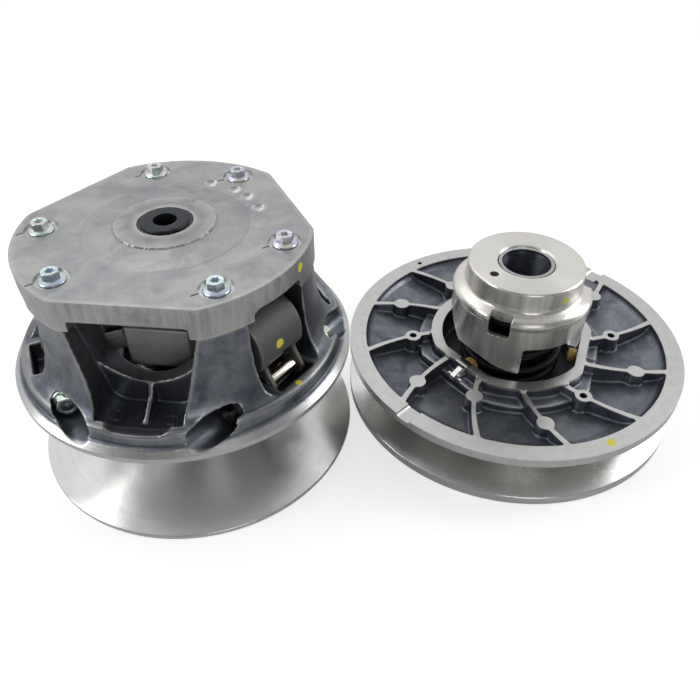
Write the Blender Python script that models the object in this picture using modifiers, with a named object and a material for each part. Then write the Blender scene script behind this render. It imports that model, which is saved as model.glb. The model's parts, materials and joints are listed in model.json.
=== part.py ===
"""Drive and driven pulleys of a belt variator, standing side by side on their faces.

All driving dimensions are millimetres and are scaled to metres when a mesh is made.
Each pulley is drawn about its own vertical axis and then set in place.
"""

import math

import bmesh
import bpy
from mathutils import Matrix, Vector

MM = 0.001
GAP = 0.3
WELD = 0.00001
SLIVER = 0.000000000002

# Placement of the two pulley axes and how far each is turned about its axis.
DRIVE_X = -107.05
DRIVEN_X = 96.95
DRIVE_TURN = 75.1
DRIVEN_TURN = -14.1

# Screws, and the running clearance of a bushing on its post.
SHANK_R = 3.0
HEX_HEAD = 8.0
HEX_NUT = 10.0
RUNNING = 0.05

# Facets of large, medium, small and tiny round pieces.
LARGE = 40
MEDIUM = 28
SMALL = 16
TINY = 12

# Belt groove.
WALL_SLOPE = math.tan(math.radians(13.5))

# Drive pulley.
DRIVE_R = 95.3
DRIVE_FACE_IN = 27.0
DRIVE_TRAVEL = 26.0
FIXED_EDGE_Z = 2.9
RIM_LOW_Z = 63.6
RING_Z = 69.5
RING_R = 92.2
POST_R = 12.7
POST_TOP = 143.5
POST_BORE = 6.15
CAVITY_R = 50.5
LEG_TOP = 122.0
HALF_POCKET = 20.0
POCKET_FLOOR = 78.0
LIP_Z = 76.0

# Flyweights and their pivots.
PIVOT_U = 71.3
PIVOT_Z = 74.6
SLEEVE_R = 4.5
SLEEVE_HALF = 12.8
EAR_IN = 9.9
EAR_R = 7.2
WEIGHT_HALF = 16.0
SEAT_T = 35.0
TROUGH_R = 7.4
SWING = math.radians(28.0)

# Spider and its rollers.
ROLLER_U = 50.0
ROLLER_Z = 84.0
ROLLER_R = 7.0
SPIDER_LOW = 78.5
SPIDER_TOP = 103.0
SPIDER_SEAT = 88.0
SPIDER_FLAT = 41.0
SPIDER_HALF = 16.5
ARM_IN = 7.6
ARM_OUT = 11.8

# Cover and its bolts.
COVER_TOP = 139.4
COVER_ROOF = 133.0
SKIRT_LOW = 127.5
LOBE_R = 77.0
LOBE_HALF = 33.5
BOLT_R = 64.4
BOLT_HALF = 22.5
SPOTFACE_Z = 138.2
SPOTFACE_R = 8.6
CONE_R = 43.0
CONE_TOP = 142.6
COVER_LIP_R = 13.8
COVER_BORE_R = 14.4
DIMPLES = (-13.5, -32.2, -45.2, -62.0)
DIMPLE_R = 49.9

# Driven pulley.
DRIVEN_R = 105.6
DRIVEN_FACE_IN = 57.6
FIXED_RIM_Z = 6.0
MOVING_RIM_LOW = 33.0
ANNULUS_Z = 38.5
ANNULUS_R = 95.4
RING_WALL_TOP = 39.8
WELL_FLOOR = 19.8
CUP_TOP = 96.0
CUP_TOP_R = 34.8
CUP_R = 41.4
CUP_IN_R = 38.4
CUP_LOW = 41.2
CUP_BORE = 16.8
TOP_HOLE_R = 25.4
TUBE_R = 16.5
CAM_ROLLER_Z = 33.6
CAM_ROLLER_R = 5.0
CAM_ROLLER_OUT = 39.0
CAM_ROLLER_AZ = -17.0
RIB_TURN = 4.6
RIB_LEAN = 0.275
RIB_W = 3.0
BOSS_R = 5.0
BOSS_NEAR = 64.5
BOSS_FAR = 78.0

MATERIALS = {
    "machined_aluminium": ((0.72, 0.73, 0.74), 0.28, 1.0),
    "cast_aluminium": ((0.30, 0.32, 0.35), 0.5, 0.9),
    "cast_cover": ((0.50, 0.51, 0.53), 0.45, 0.9),
    "dark_steel": ((0.10, 0.11, 0.13), 0.4, 1.0),
    "polished_steel": ((0.75, 0.70, 0.64), 0.15, 1.0),
    "zinc": ((0.62, 0.68, 0.70), 0.3, 1.0),
    "black_steel": ((0.03, 0.03, 0.035), 0.4, 0.8),
    "grey_steel": ((0.28, 0.28, 0.29), 0.45, 0.8),
    "bronze": ((0.55, 0.38, 0.18), 0.4, 1.0),
    "amber_plastic": ((0.60, 0.42, 0.12), 0.45, 0.0),
    "spring_steel": ((0.18, 0.18, 0.20), 0.35, 1.0),
}


def clear_scene():
    for item in list(bpy.data.objects):
        bpy.data.objects.remove(item, do_unlink=True)


def new_collection(name):
    made = bpy.data.collections.new(name)
    bpy.context.scene.collection.children.link(made)
    return made


def material(name):
    found = bpy.data.materials.get(name)
    if found:
        return found
    colour, rough, metal = MATERIALS[name]
    made = bpy.data.materials.new(name)
    made.use_nodes = True
    shader = made.node_tree.nodes["Principled BSDF"]
    shader.inputs["Base Color"].default_value = (*colour, 1.0)
    shader.inputs["Roughness"].default_value = rough
    shader.inputs["Metallic"].default_value = metal
    return made


def link(name, data):
    """New working object; finished pieces move to the parts collection later."""
    made = bpy.data.objects.new(name, data)
    made.hide_render = True
    made.display_type = "WIRE"
    CUTTERS.objects.link(made)
    return made


def settle(item):
    """Replace an object by the welded mesh its modifiers or curve give."""
    bpy.context.view_layer.update()
    graph = bpy.context.evaluated_depsgraph_get()
    mesh = bpy.data.meshes.new_from_object(item.evaluated_get(graph))
    mesh.transform(item.matrix_world)
    name = item.name
    bpy.data.objects.remove(item, do_unlink=True)
    weld(mesh)
    mesh.materials.clear()
    return link(name, mesh)


def weld(mesh):
    work = bmesh.new()
    work.from_mesh(mesh)
    bmesh.ops.remove_doubles(work, verts=work.verts, dist=WELD)
    bmesh.ops.dissolve_degenerate(work, edges=work.edges, dist=WELD)
    bmesh.ops.recalc_face_normals(work, faces=work.faces)
    work.to_mesh(mesh)
    work.free()


def lathe(name, loop, steps):
    """Closed ring turned from a loop of (radius, height) points."""
    area = 0.0
    count = len(loop)
    for i, (r0, z0) in enumerate(loop):
        r1, z1 = loop[(i + 1) % count]
        area += r0 * z1 - r1 * z0
    points = list(loop) if area < 0 else list(reversed(loop))
    mesh = bpy.data.meshes.new(name)
    edges = [(i, (i + 1) % count) for i in range(count)]
    mesh.from_pydata([(r * MM, 0.0, z * MM) for r, z in points], edges, [])
    item = link(name, mesh)
    screw = item.modifiers.new("turn", "SCREW")
    screw.axis = "Z"
    screw.steps = steps
    screw.render_steps = steps
    screw.use_merge_vertices = True
    screw.merge_threshold = 0.00001
    return settle(item)


def plate(name, outlines, low, high):
    """Flat prism between two heights, from one outline and any holes in it."""
    curve = bpy.data.curves.new(name, "CURVE")
    curve.dimensions = "2D"
    curve.fill_mode = "BOTH"
    curve.extrude = (high - low) * MM / 2
    for outline in outlines:
        spline = curve.splines.new("POLY")
        spline.points.add(len(outline) - 1)
        for point, (x, y) in zip(spline.points, outline):
            point.co = (x * MM, y * MM, 0.0, 1.0)
        spline.use_cyclic_u = True
    item = link(name, curve)
    item.location.z = (low + high) * MM / 2
    return settle(item)


def rod(name, radius, low, high, steps=SMALL):
    work = bmesh.new()
    bmesh.ops.create_cone(work, cap_ends=True, segments=steps, radius1=radius * MM,
                          radius2=radius * MM, depth=(high - low) * MM)
    bmesh.ops.translate(work, verts=work.verts, vec=(0.0, 0.0, (high + low) * MM / 2))
    mesh = bpy.data.meshes.new(name)
    work.to_mesh(mesh)
    work.free()
    return link(name, mesh)


def ball(name, radius, centre):
    work = bmesh.new()
    bmesh.ops.create_uvsphere(work, u_segments=TINY, v_segments=6, radius=radius * MM)
    bmesh.ops.translate(work, verts=work.verts, vec=Vector(centre) * MM)
    mesh = bpy.data.meshes.new(name)
    work.to_mesh(mesh)
    work.free()
    return link(name, mesh)


def arc(radius, start, end, count, centre=(0.0, 0.0)):
    points = []
    for i in range(count + 1):
        a = math.radians(start + (end - start) * i / count)
        points.append((centre[0] + radius * math.cos(a), centre[1] + radius * math.sin(a)))
    return points


def ring_points(radius, count):
    return arc(radius, 0.0, 360.0 - 360.0 / count, count - 1)


def combine(item, others, kind):
    for other in others:
        step = item.modifiers.new(kind, "BOOLEAN")
        step.operation = kind
        step.solver = "EXACT"
        step.object = other
        item = settle(item)
    for other in others:
        bpy.data.objects.remove(other, do_unlink=True)
    return item


def cut(item, others):
    return combine(item, others, "DIFFERENCE")


def fuse(item, others):
    return combine(item, others, "UNION")


def across(angle):
    """Local x runs tangentially, y up and z outwards at the given azimuth."""
    a = math.radians(angle)
    rows = ((-math.sin(a), 0.0, math.cos(a), 0.0),
            (math.cos(a), 0.0, math.sin(a), 0.0),
            (0.0, 1.0, 0.0, 0.0),
            (0.0, 0.0, 0.0, 1.0))
    return Matrix(rows)


def along(angle):
    """Local x runs outwards, y up and z against the tangent at the given azimuth."""
    a = math.radians(angle)
    rows = ((math.cos(a), 0.0, math.sin(a), 0.0),
            (math.sin(a), 0.0, -math.cos(a), 0.0),
            (0.0, 1.0, 0.0, 0.0),
            (0.0, 0.0, 0.0, 1.0))
    return Matrix(rows)


def move(item, matrix):
    item.data.transform(matrix)
    item.data.update()
    return item


def turned(item, angle):
    return move(item, Matrix.Rotation(math.radians(angle), 4, "Z"))


def shifted(item, x, y, z):
    return move(item, Matrix.Translation(Vector((x, y, z)) * MM))


def radial_block(name, outline, inner, outer, angle):
    """Prism with a (tangent, height) outline, run outwards between two distances."""
    return move(plate(name, [outline], inner, outer), across(angle))


def tangent_block(name, outlines, low, high, angle):
    """Prism with an (outward, height) outline, run along the tangent."""
    return move(plate(name, outlines, -high, -low), along(angle))


def tangent_rod(name, radius, low, high, u, z, angle, steps=SMALL):
    made = shifted(rod(name, radius, -high, -low, steps), u, z, 0.0)
    return move(made, along(angle))


def tidy(mesh):
    """Join the flat facets that cutting has split, where the skin stays closed."""
    work = bmesh.new()
    work.from_mesh(mesh)
    bmesh.ops.dissolve_limit(work, angle_limit=math.radians(0.3), verts=work.verts,
                             edges=work.edges, use_dissolve_boundaries=False)
    bmesh.ops.triangulate(work, faces=work.faces)
    whole = all(len(edge.link_faces) == 2 for edge in work.edges)
    if whole and all(face.calc_area() > SLIVER for face in work.faces):
        work.to_mesh(mesh)
    work.free()


def rename(item, name, slot, smooth=35.0):
    """Final name, material and shading of a finished piece."""
    tidy(item.data)
    item.name = name
    item.data.name = name
    item.data.materials.clear()
    item.data.materials.append(material(slot))
    item.data.shade_smooth()
    item.data.set_sharp_from_angle(angle=math.radians(smooth))
    CUTTERS.objects.unlink(item)
    PARTS.objects.link(item)
    item.hide_render = False
    item.display_type = "TEXTURED"
    return item


def hinged(item, out, z, angle):
    """Put the piece's origin on its hinge, at a distance out and a height."""
    a = math.radians(angle)
    spot = Vector((out * math.cos(a), out * math.sin(a), z)) * MM
    item.data.transform(Matrix.Translation(-spot))
    item.location = spot
    return item


def axis_empty(name, x):
    made = bpy.data.objects.new(name, None)
    made.location.x = x * MM
    PARTS.objects.link(made)
    return made


def pockets():
    return [DRIVE_TURN + 120.0 * k for k in range(3)]


def windows():
    return [DRIVE_TURN + 60.0 + 120.0 * k for k in range(3)]


# ---------------------------------------------------------------- drive pulley

def drive_fixed_sheave():
    face_top = FIXED_EDGE_Z + (DRIVE_R - DRIVE_FACE_IN) * WALL_SLOPE
    loop = [(13.0, face_top + 0.5), (26.2, face_top + 0.5), (DRIVE_FACE_IN, face_top),
            (DRIVE_R, FIXED_EDGE_Z), (95.5, 2.5), (95.5, 0.4), (95.1, 0.0), (88.0, 0.0),
            (85.0, 1.5), (60.0, 6.4), (36.0, 11.0), (33.0, 10.0), (32.0, 0.6), (13.0, 0.6)]
    body = lathe("sheave", loop, LARGE)
    ribs = []
    for k in range(6):
        outline = [(-1.6, 0.9), (1.6, 0.9), (1.6, 8.0), (-1.6, 8.0)]
        ribs.append(radial_block("rib", outline, 31.0, 62.0, DRIVE_TURN + 60.0 * k))
    return rename(fuse(body, ribs), "drive_fixed_sheave", "machined_aluminium")


def drive_post():
    loop = [(POST_BORE, POST_TOP), (POST_R - 1.0, POST_TOP), (POST_R, POST_TOP - 1.0),
            (POST_R, 1.6), (POST_R - 1.0, 0.6), (POST_BORE, 0.6)]
    return rename(lathe("post", loop, MEDIUM), "drive_post", "dark_steel")


def idler_bearing():
    loop = [(13.0, 39.6), (24.4, 39.6), (25.0, 39.0), (25.0, 21.0), (24.4, 20.4), (13.0, 20.4)]
    return rename(lathe("bearing", loop, MEDIUM), "belt_idler_bearing", "dark_steel")


def idler_washer():
    loop = [(13.0, 40.7), (19.0, 40.7), (19.0, 39.9), (13.0, 39.9)]
    return rename(lathe("washer", loop, MEDIUM), "idler_washer", "grey_steel")


def bell_body():
    face_in = RIM_LOW_Z - (DRIVE_R - DRIVE_FACE_IN) * WALL_SLOPE
    loop = [(CAVITY_R, LEG_TOP), (75.5, LEG_TOP), (76.0, 112.0), (76.8, 100.0), (78.4, 91.0),
            (81.0, 84.0), (84.8, POCKET_FLOOR + 0.6), (88.4, POCKET_FLOOR), (89.6, 76.6),
            (90.2, RING_Z), (RING_R, RING_Z), (DRIVE_R, 66.6), (DRIVE_R, RIM_LOW_Z),
            (DRIVE_FACE_IN, face_in), (26.2, face_in + 0.2), (26.2, 67.0), (15.9, 67.0),
            (15.9, 77.0), (22.0, 77.0), (30.5, 72.0), (31.5, 64.0), (38.0, 58.5),
            (48.0, 60.0), (CAVITY_R, 64.0)]
    return lathe("bell", loop, LARGE)


def window_outline(low, low_half, top_half, corner):
    """Flared window with rounded lower corners."""
    left = arc(corner, 180.0, 270.0, 3, (-low_half + corner, low + corner))
    right = arc(corner, 270.0, 360.0, 3, (low_half - corner, low + corner))
    return left + right + [(top_half, LEG_TOP + 3.0), (-top_half, LEG_TOP + 3.0)]


def saddle_outline():
    """Window over the inner wall, whose edge dips in the middle."""
    low = []
    for i in range(9):
        t = -25.0 + 50.0 * i / 8
        low.append((t, 84.0 + 12.0 * (t / 25.0) ** 2))
    return low + [(31.5, LEG_TOP + 3.0), (-31.5, LEG_TOP + 3.0)]


def window_cutters(angle):
    shelf = window_outline(70.5, 22.0, 32.5, 7.0)
    mouth = window_outline(LIP_Z, 21.0, 32.0, 9.0)
    return [radial_block("shelf", shelf, 59.0, 82.5, angle),
            radial_block("mouth", mouth, 82.0, 110.0, angle),
            radial_block("saddle", saddle_outline(), 40.0, 60.0, angle)]


def pocket_cutters(angle):
    window = window_outline(POCKET_FLOOR, HALF_POCKET, HALF_POCKET, 4.0)
    slot = [(-13.3, 66.0), (13.3, 66.0), (13.3, 80.0), (-13.3, 80.0)]
    cutters = [radial_block("pocket", window, 40.0, 110.0, angle),
               radial_block("slot", slot, 45.0, 84.0, angle),
               tangent_rod("hole", SHANK_R + GAP, -SEAT_T - 2.0, SEAT_T + 2.0, PIVOT_U, PIVOT_Z,
                           angle, TINY),
               tangent_rod("trough", TROUGH_R, SEAT_T, 80.0, PIVOT_U, PIVOT_Z, angle),
               tangent_rod("trough", TROUGH_R, -80.0, -SEAT_T, PIVOT_U, PIVOT_Z, angle)]
    return cutters


def bolt_places():
    places = []
    for angle in pockets():
        for side in (BOLT_HALF, -BOLT_HALF):
            a = math.radians(angle + side)
            places.append((BOLT_R * math.cos(a), BOLT_R * math.sin(a)))
    return places


def drive_moving_sheave():
    body = bell_body()
    cutters = []
    for angle in windows():
        cutters += window_cutters(angle)
    for angle in pockets():
        cutters += pocket_cutters(angle)
    for x, y in bolt_places():
        cutters.append(shifted(rod("tapped", SHANK_R + GAP, 106.0, 130.0, TINY), x, y, 0.0))
    body = cut(body, cutters)
    ribs = []
    for angle in windows():
        outline = [(57.0, 69.5), (77.0, 69.5), (74.0, 71.5), (63.5, 76.0), (60.0, 82.5),
                   (57.0, 82.5)]
        ribs.append(tangent_block("rib", [outline], -1.4, 1.4, angle))
    return rename(fuse(body, ribs), "drive_moving_sheave", "cast_aluminium")


def drive_bushing():
    loop = [(POST_R + RUNNING, 76.6), (15.6, 76.6), (15.6, 67.4), (POST_R + RUNNING, 67.4)]
    return rename(lathe("bushing", loop, MEDIUM), "drive_sheave_bushing", "bronze")


def cover_outline(inset):
    points = []
    for angle in pockets():
        points += arc(LOBE_R - inset, angle - LOBE_HALF, angle + LOBE_HALF, 8)
    return points


def drive_cover():
    body = plate("cover", [cover_outline(0.0)], SKIRT_LOW, COVER_TOP)
    body = cut(body, [plate("hollow", [cover_outline(7.0)], SKIRT_LOW - 1.0, COVER_ROOF)])
    cone = [(COVER_LIP_R, COVER_TOP - 3.0), (CONE_R, COVER_TOP - 3.0), (CONE_R, COVER_TOP + 0.25),
            (27.2, CONE_TOP - 0.4), (26.2, CONE_TOP), (COVER_LIP_R, CONE_TOP)]
    hub = [(COVER_LIP_R, 130.5), (21.0, 130.5), (22.5, COVER_ROOF + 1.0), (22.5, 135.3),
           (COVER_LIP_R, 135.3)]
    bosses = []
    for x, y in bolt_places():
        bosses.append(shifted(rod("boss", 9.4, LEG_TOP + GAP, 136.0), x, y, 0.0))
    body = fuse(body, [lathe("cone", cone, MEDIUM), lathe("hub", hub, MEDIUM)] + bosses)
    cutters = [rod("bore", COVER_BORE_R, 125.0, 150.0, MEDIUM)]
    for x, y in bolt_places():
        cutters.append(shifted(rod("spot", SPOTFACE_R, SPOTFACE_Z, 150.0), x, y, 0.0))
        cutters.append(shifted(rod("hole", SHANK_R + GAP, 115.0, 145.0, TINY), x, y, 0.0))
    for offset in DIMPLES:
        a = math.radians(DRIVE_TURN + offset)
        spot = (DIMPLE_R * math.cos(a), DIMPLE_R * math.sin(a), COVER_TOP + 4.2)
        cutters.append(ball("dimple", 6.0, spot))
    return rename(cut(body, cutters), "drive_cover", "cast_cover")


def cover_bushing():
    outer = COVER_BORE_R - GAP
    loop = [(POST_R + RUNNING, 142.2), (outer, 142.2), (outer, 131.0), (POST_R + RUNNING, 131.0)]
    return rename(lathe("bushing", loop, MEDIUM), "cover_bushing", "bronze")


def hexagon(across_flats, turn=0.0):
    radius = across_flats / math.sqrt(3.0)
    return arc(radius, turn, turn + 300.0, 5)


def cover_bolt(number, x, y):
    body = rod("bolt", 6.6, SPOTFACE_Z + 0.1, SPOTFACE_Z + 1.5)
    head = plate("head", [hexagon(HEX_HEAD, 15.0 * number)], SPOTFACE_Z + 1.2, 143.8)
    shank = rod("shank", SHANK_R, 110.0, SPOTFACE_Z + 0.5, TINY)
    body = fuse(body, [head, shank])
    body = cut(body, [rod("socket", 2.3, 141.3, 145.0, 6)])
    body = shifted(body, x, y, 0.0)
    return rename(body, f"cover_bolt_{number}", "zinc")


def cam_path(lift):
    """Where the roller stands in the swung weight, for a share of the travel."""
    u = ROLLER_U - PIVOT_U
    z = ROLLER_Z + DRIVE_TRAVEL * lift - PIVOT_Z
    a = SWING * lift
    return (PIVOT_U + u * math.cos(a) - z * math.sin(a),
            PIVOT_Z + u * math.sin(a) + z * math.cos(a))


def cam_surface(count):
    """Face of the weight that the roller runs on."""
    points = []
    for i in range(count + 1):
        lift = i / count
        before = cam_path(lift - 0.02)
        after = cam_path(lift + 0.02)
        here = cam_path(lift)
        step = (after[0] - before[0], after[1] - before[1])
        size = math.hypot(*step)
        reach = (ROLLER_R + 0.4) / size
        points.append((here[0] + step[1] * reach, here[1] - step[0] * reach))
    return points


def weight_outline():
    back = [(62.0, 85.6), (70.0, 86.0), (73.2, 89.0), (74.8, 94.5), (74.6, 100.5), (72.0, 106.5),
            (67.5, 111.0), (61.5, 114.0), (54.5, 115.2), (47.5, 113.8), (41.5, 110.8),
            (38.2, 107.4)]
    return back + list(reversed(cam_surface(8)))


def ear_outline():
    round_end = arc(EAR_R, 170.0, 370.0, 12, (PIVOT_U, PIVOT_Z))
    return round_end + [(73.6, 84.0), (71.0, 92.0), (61.0, 92.0), (62.5, 84.0)]


def flyweight(number, angle):
    body = tangent_block("weight", [weight_outline()], -WEIGHT_HALF, WEIGHT_HALF, angle)
    ears = [tangent_block("ear", [ear_outline()], EAR_IN, SLEEVE_HALF - GAP, angle),
            tangent_block("ear", [ear_outline()], GAP - SLEEVE_HALF, -EAR_IN, angle)]
    body = fuse(body, ears)
    notch = [(64.0, 83.0), (80.0, 83.0), (80.0, 91.5), (66.0, 90.0)]
    body = cut(body, [tangent_rod("bore", SLEEVE_R + 0.1, -30.0, 30.0, PIVOT_U, PIVOT_Z, angle),
                      tangent_block("notch", [notch], 1.0, 8.0, angle)])
    return hinged(rename(body, f"flyweight_{number}", "grey_steel"), PIVOT_U, PIVOT_Z, angle)


def weight_sleeve(number, angle):
    body = tangent_rod("sleeve", SLEEVE_R, -SLEEVE_HALF, SLEEVE_HALF, PIVOT_U, PIVOT_Z, angle)
    body = cut(body, [tangent_rod("bore", SHANK_R + GAP, -20.0, 20.0, PIVOT_U, PIVOT_Z, angle, TINY)])
    return rename(body, f"weight_sleeve_{number}", "polished_steel")


def weight_bolt(number, angle):
    flange = tangent_rod("flange", 6.4, -SEAT_T - 1.5, -SEAT_T - 0.1, PIVOT_U, PIVOT_Z, angle)
    shank = tangent_rod("shank", SHANK_R, -SEAT_T - 0.5, SEAT_T + 8.0, PIVOT_U, PIVOT_Z, angle, TINY)
    head = plate("head", [hexagon(HEX_HEAD)], -SEAT_T - 5.5, -SEAT_T - 1.0)
    head = move(shifted(head, PIVOT_U, PIVOT_Z, 2 * SEAT_T + 6.5), along(angle))
    return rename(fuse(flange, [head, shank]), f"weight_bolt_{number}", "black_steel")


def weight_nut(number, angle):
    flange = tangent_rod("flange", 6.6, SEAT_T + 0.1, SEAT_T + 1.4, PIVOT_U, PIVOT_Z, angle)
    body = plate("nut", [hexagon(HEX_NUT, 10.0)], -SEAT_T - 6.2, -SEAT_T - 1.0)
    body = move(shifted(body, PIVOT_U, PIVOT_Z, 0.0), along(angle))
    bore = tangent_rod("bore", SHANK_R + GAP, SEAT_T - 5.0, SEAT_T + 12.0, PIVOT_U, PIVOT_Z, angle,
                       TINY)
    return rename(cut(fuse(flange, [body]), [bore]), f"weight_nut_{number}", "zinc")


def spider_outline():
    points = []
    for angle in windows():
        a = math.radians(angle)
        for t in (-SPIDER_HALF, SPIDER_HALF):
            points.append((SPIDER_FLAT * math.cos(a) - t * math.sin(a),
                           SPIDER_FLAT * math.sin(a) + t * math.cos(a)))
    return points


def arm_outline():
    tip = arc(5.2, -90.0, 70.0, 6, (ROLLER_U, ROLLER_Z))
    return [(28.0, SPIDER_LOW + 0.3)] + tip + [(36.0, 88.0), (28.0, 88.0)]


def spider():
    body = plate("spider", [spider_outline()], SPIDER_LOW, SPIDER_TOP)
    arms = []
    for angle in pockets():
        arms.append(tangent_block("arm", [arm_outline()], ARM_IN, ARM_OUT, angle))
        arms.append(tangent_block("arm", [arm_outline()], -ARM_OUT, -ARM_IN, angle))
    body = fuse(body, arms)
    cutters = [rod("recess", 30.0, SPIDER_SEAT, 110.0, MEDIUM),
               rod("bore", POST_R + GAP, 70.0, 95.0, MEDIUM)]
    for angle in pockets():
        cutters.append(tangent_rod("pin", 3.2, -20.0, 20.0, ROLLER_U, ROLLER_Z, angle, TINY))
    return rename(cut(body, cutters), "spider", "dark_steel")


def roller_pin(number, angle):
    body = tangent_rod("pin", 3.0, -11.6, 11.6, ROLLER_U, ROLLER_Z, angle, TINY)
    return rename(body, f"roller_pin_{number}", "grey_steel")


def spider_roller(number, angle):
    body = tangent_rod("roller", ROLLER_R, -7.2, 7.2, ROLLER_U, ROLLER_Z, angle)
    bore = tangent_rod("bore", 3.08, -9.0, 9.0, ROLLER_U, ROLLER_Z, angle, TINY)
    body = rename(cut(body, [bore]), f"spider_roller_{number}", "polished_steel")
    return hinged(body, ROLLER_U, ROLLER_Z, angle)


def spider_jam_nut():
    body = plate("nut", [hexagon(38.0)], SPIDER_SEAT + GAP, SPIDER_SEAT + 6.3)
    body = cut(body, [rod("bore", POST_R + GAP, 80.0, 100.0, MEDIUM)])
    return rename(body, "spider_jam_nut", "black_steel")


def coil(name, radius, wire, low, high, turns, steps):
    """Round wire wound about the pulley axis, resting inside two heights."""
    curve = bpy.data.curves.new(name, "CURVE")
    curve.dimensions = "3D"
    curve.bevel_depth = wire * MM / 2
    curve.bevel_resolution = 2
    curve.use_fill_caps = True
    spline = curve.splines.new("POLY")
    count = int(turns * steps)
    spline.points.add(count)
    rise = high - low - wire
    for i, point in enumerate(spline.points):
        a = 2 * math.pi * i / steps
        z = low + wire / 2 + rise * i / count
        point.co = (radius * MM * math.cos(a), radius * MM * math.sin(a), z * MM, 1.0)
    return settle(link(name, curve))


def drive_spring():
    made = coil("spring", 25.6, 4.2, SPIDER_SEAT + 0.5, COVER_ROOF - 0.5, 3.5, 12)
    return rename(made, "drive_spring", "spring_steel", 60.0)


# --------------------------------------------------------------- driven pulley

def driven_fixed_sheave():
    face_top = FIXED_RIM_Z + (DRIVEN_R - DRIVEN_FACE_IN) * WALL_SLOPE
    loop = [(CUP_BORE, 24.0), (22.4, 24.0), (22.4, 14.5), (52.0, 14.5), (54.0, face_top - 0.4),
            (DRIVEN_FACE_IN, face_top), (DRIVEN_R - 0.3, FIXED_RIM_Z), (DRIVEN_R, 5.6),
            (DRIVEN_R, 0.5), (DRIVEN_R - 0.5, 0.0), (99.0, 0.0), (97.0, 2.0), (60.0, 10.4),
            (34.0, 8.6), (29.0, 6.0), (28.0, 0.6), (CUP_BORE, 0.6)]
    body = lathe("sheave", loop, LARGE)
    ribs = []
    for k in range(6):
        outline = [(-1.6, 0.9), (1.6, 0.9), (1.6, 9.2), (-1.6, 9.2)]
        ribs.append(radial_block("rib", outline, 27.0, 62.0, 60.0 * k + 15.0))
    return rename(fuse(body, ribs), "driven_fixed_sheave", "machined_aluminium")


def driven_post():
    loop = [(13.4, 93.4), (15.9, 93.4), (TUBE_R, 92.8), (TUBE_R, 1.4), (15.9, 0.8), (12.4, 0.8),
            (12.4, 66.0)]
    for k in range(3):
        z = 69.0 + 8.0 * k
        loop += [(13.9, z), (13.0, z + 4.0)]
    return rename(lathe("tube", loop, MEDIUM), "driven_post", "dark_steel")


def wall_outline(arc_radius, flat, count):
    """Circle cut by three flats, one over each cam roller."""
    half = math.degrees(math.acos(flat / arc_radius))
    points = []
    for k in range(3):
        middle = DRIVEN_TURN + CAM_ROLLER_AZ + 60.0 + 120.0 * k
        points += arc(arc_radius, middle - 60.0 + half, middle + 60.0 - half, count)
    return points


def driven_ribs():
    """Leaning ribs with a round pad each, trimmed to end inside the sheave wall."""
    ribs = []
    for k in range(12):
        base = DRIVEN_TURN + RIB_TURN + 30.0 * k
        boss = BOSS_NEAR if k % 2 == 0 else BOSS_FAR
        left = []
        right = []
        for i in range(4):
            r = 45.0 + (ANNULUS_R + 1.0 - 45.0) * i / 3
            a = math.radians(base + RIB_LEAN * (r - 64.0))
            side = RIB_W / 2 / r
            left.append((r * math.cos(a + side), r * math.sin(a + side)))
            right.append((r * math.cos(a - side), r * math.sin(a - side)))
        ribs.append(plate("rib", [right + list(reversed(left))], 22.0, ANNULUS_Z - 0.2))
        a = math.radians(base + RIB_LEAN * (boss - 64.0))
        pad = rod("pad", BOSS_R, 22.0, ANNULUS_Z, TINY)
        ribs.append(shifted(pad, boss * math.cos(a), boss * math.sin(a), 0.0))
    whole = fuse(ribs[0], ribs[1:])
    trim = MOVING_RIM_LOW + 2.0
    under = [(30.0, 10.0), (112.0, 10.0), (112.0, trim + (112.0 - DRIVEN_R) * WALL_SLOPE),
             (30.0, trim - (DRIVEN_R - 30.0) * WALL_SLOPE)]
    return [cut(whole, [lathe("under", under, LARGE)])]


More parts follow.
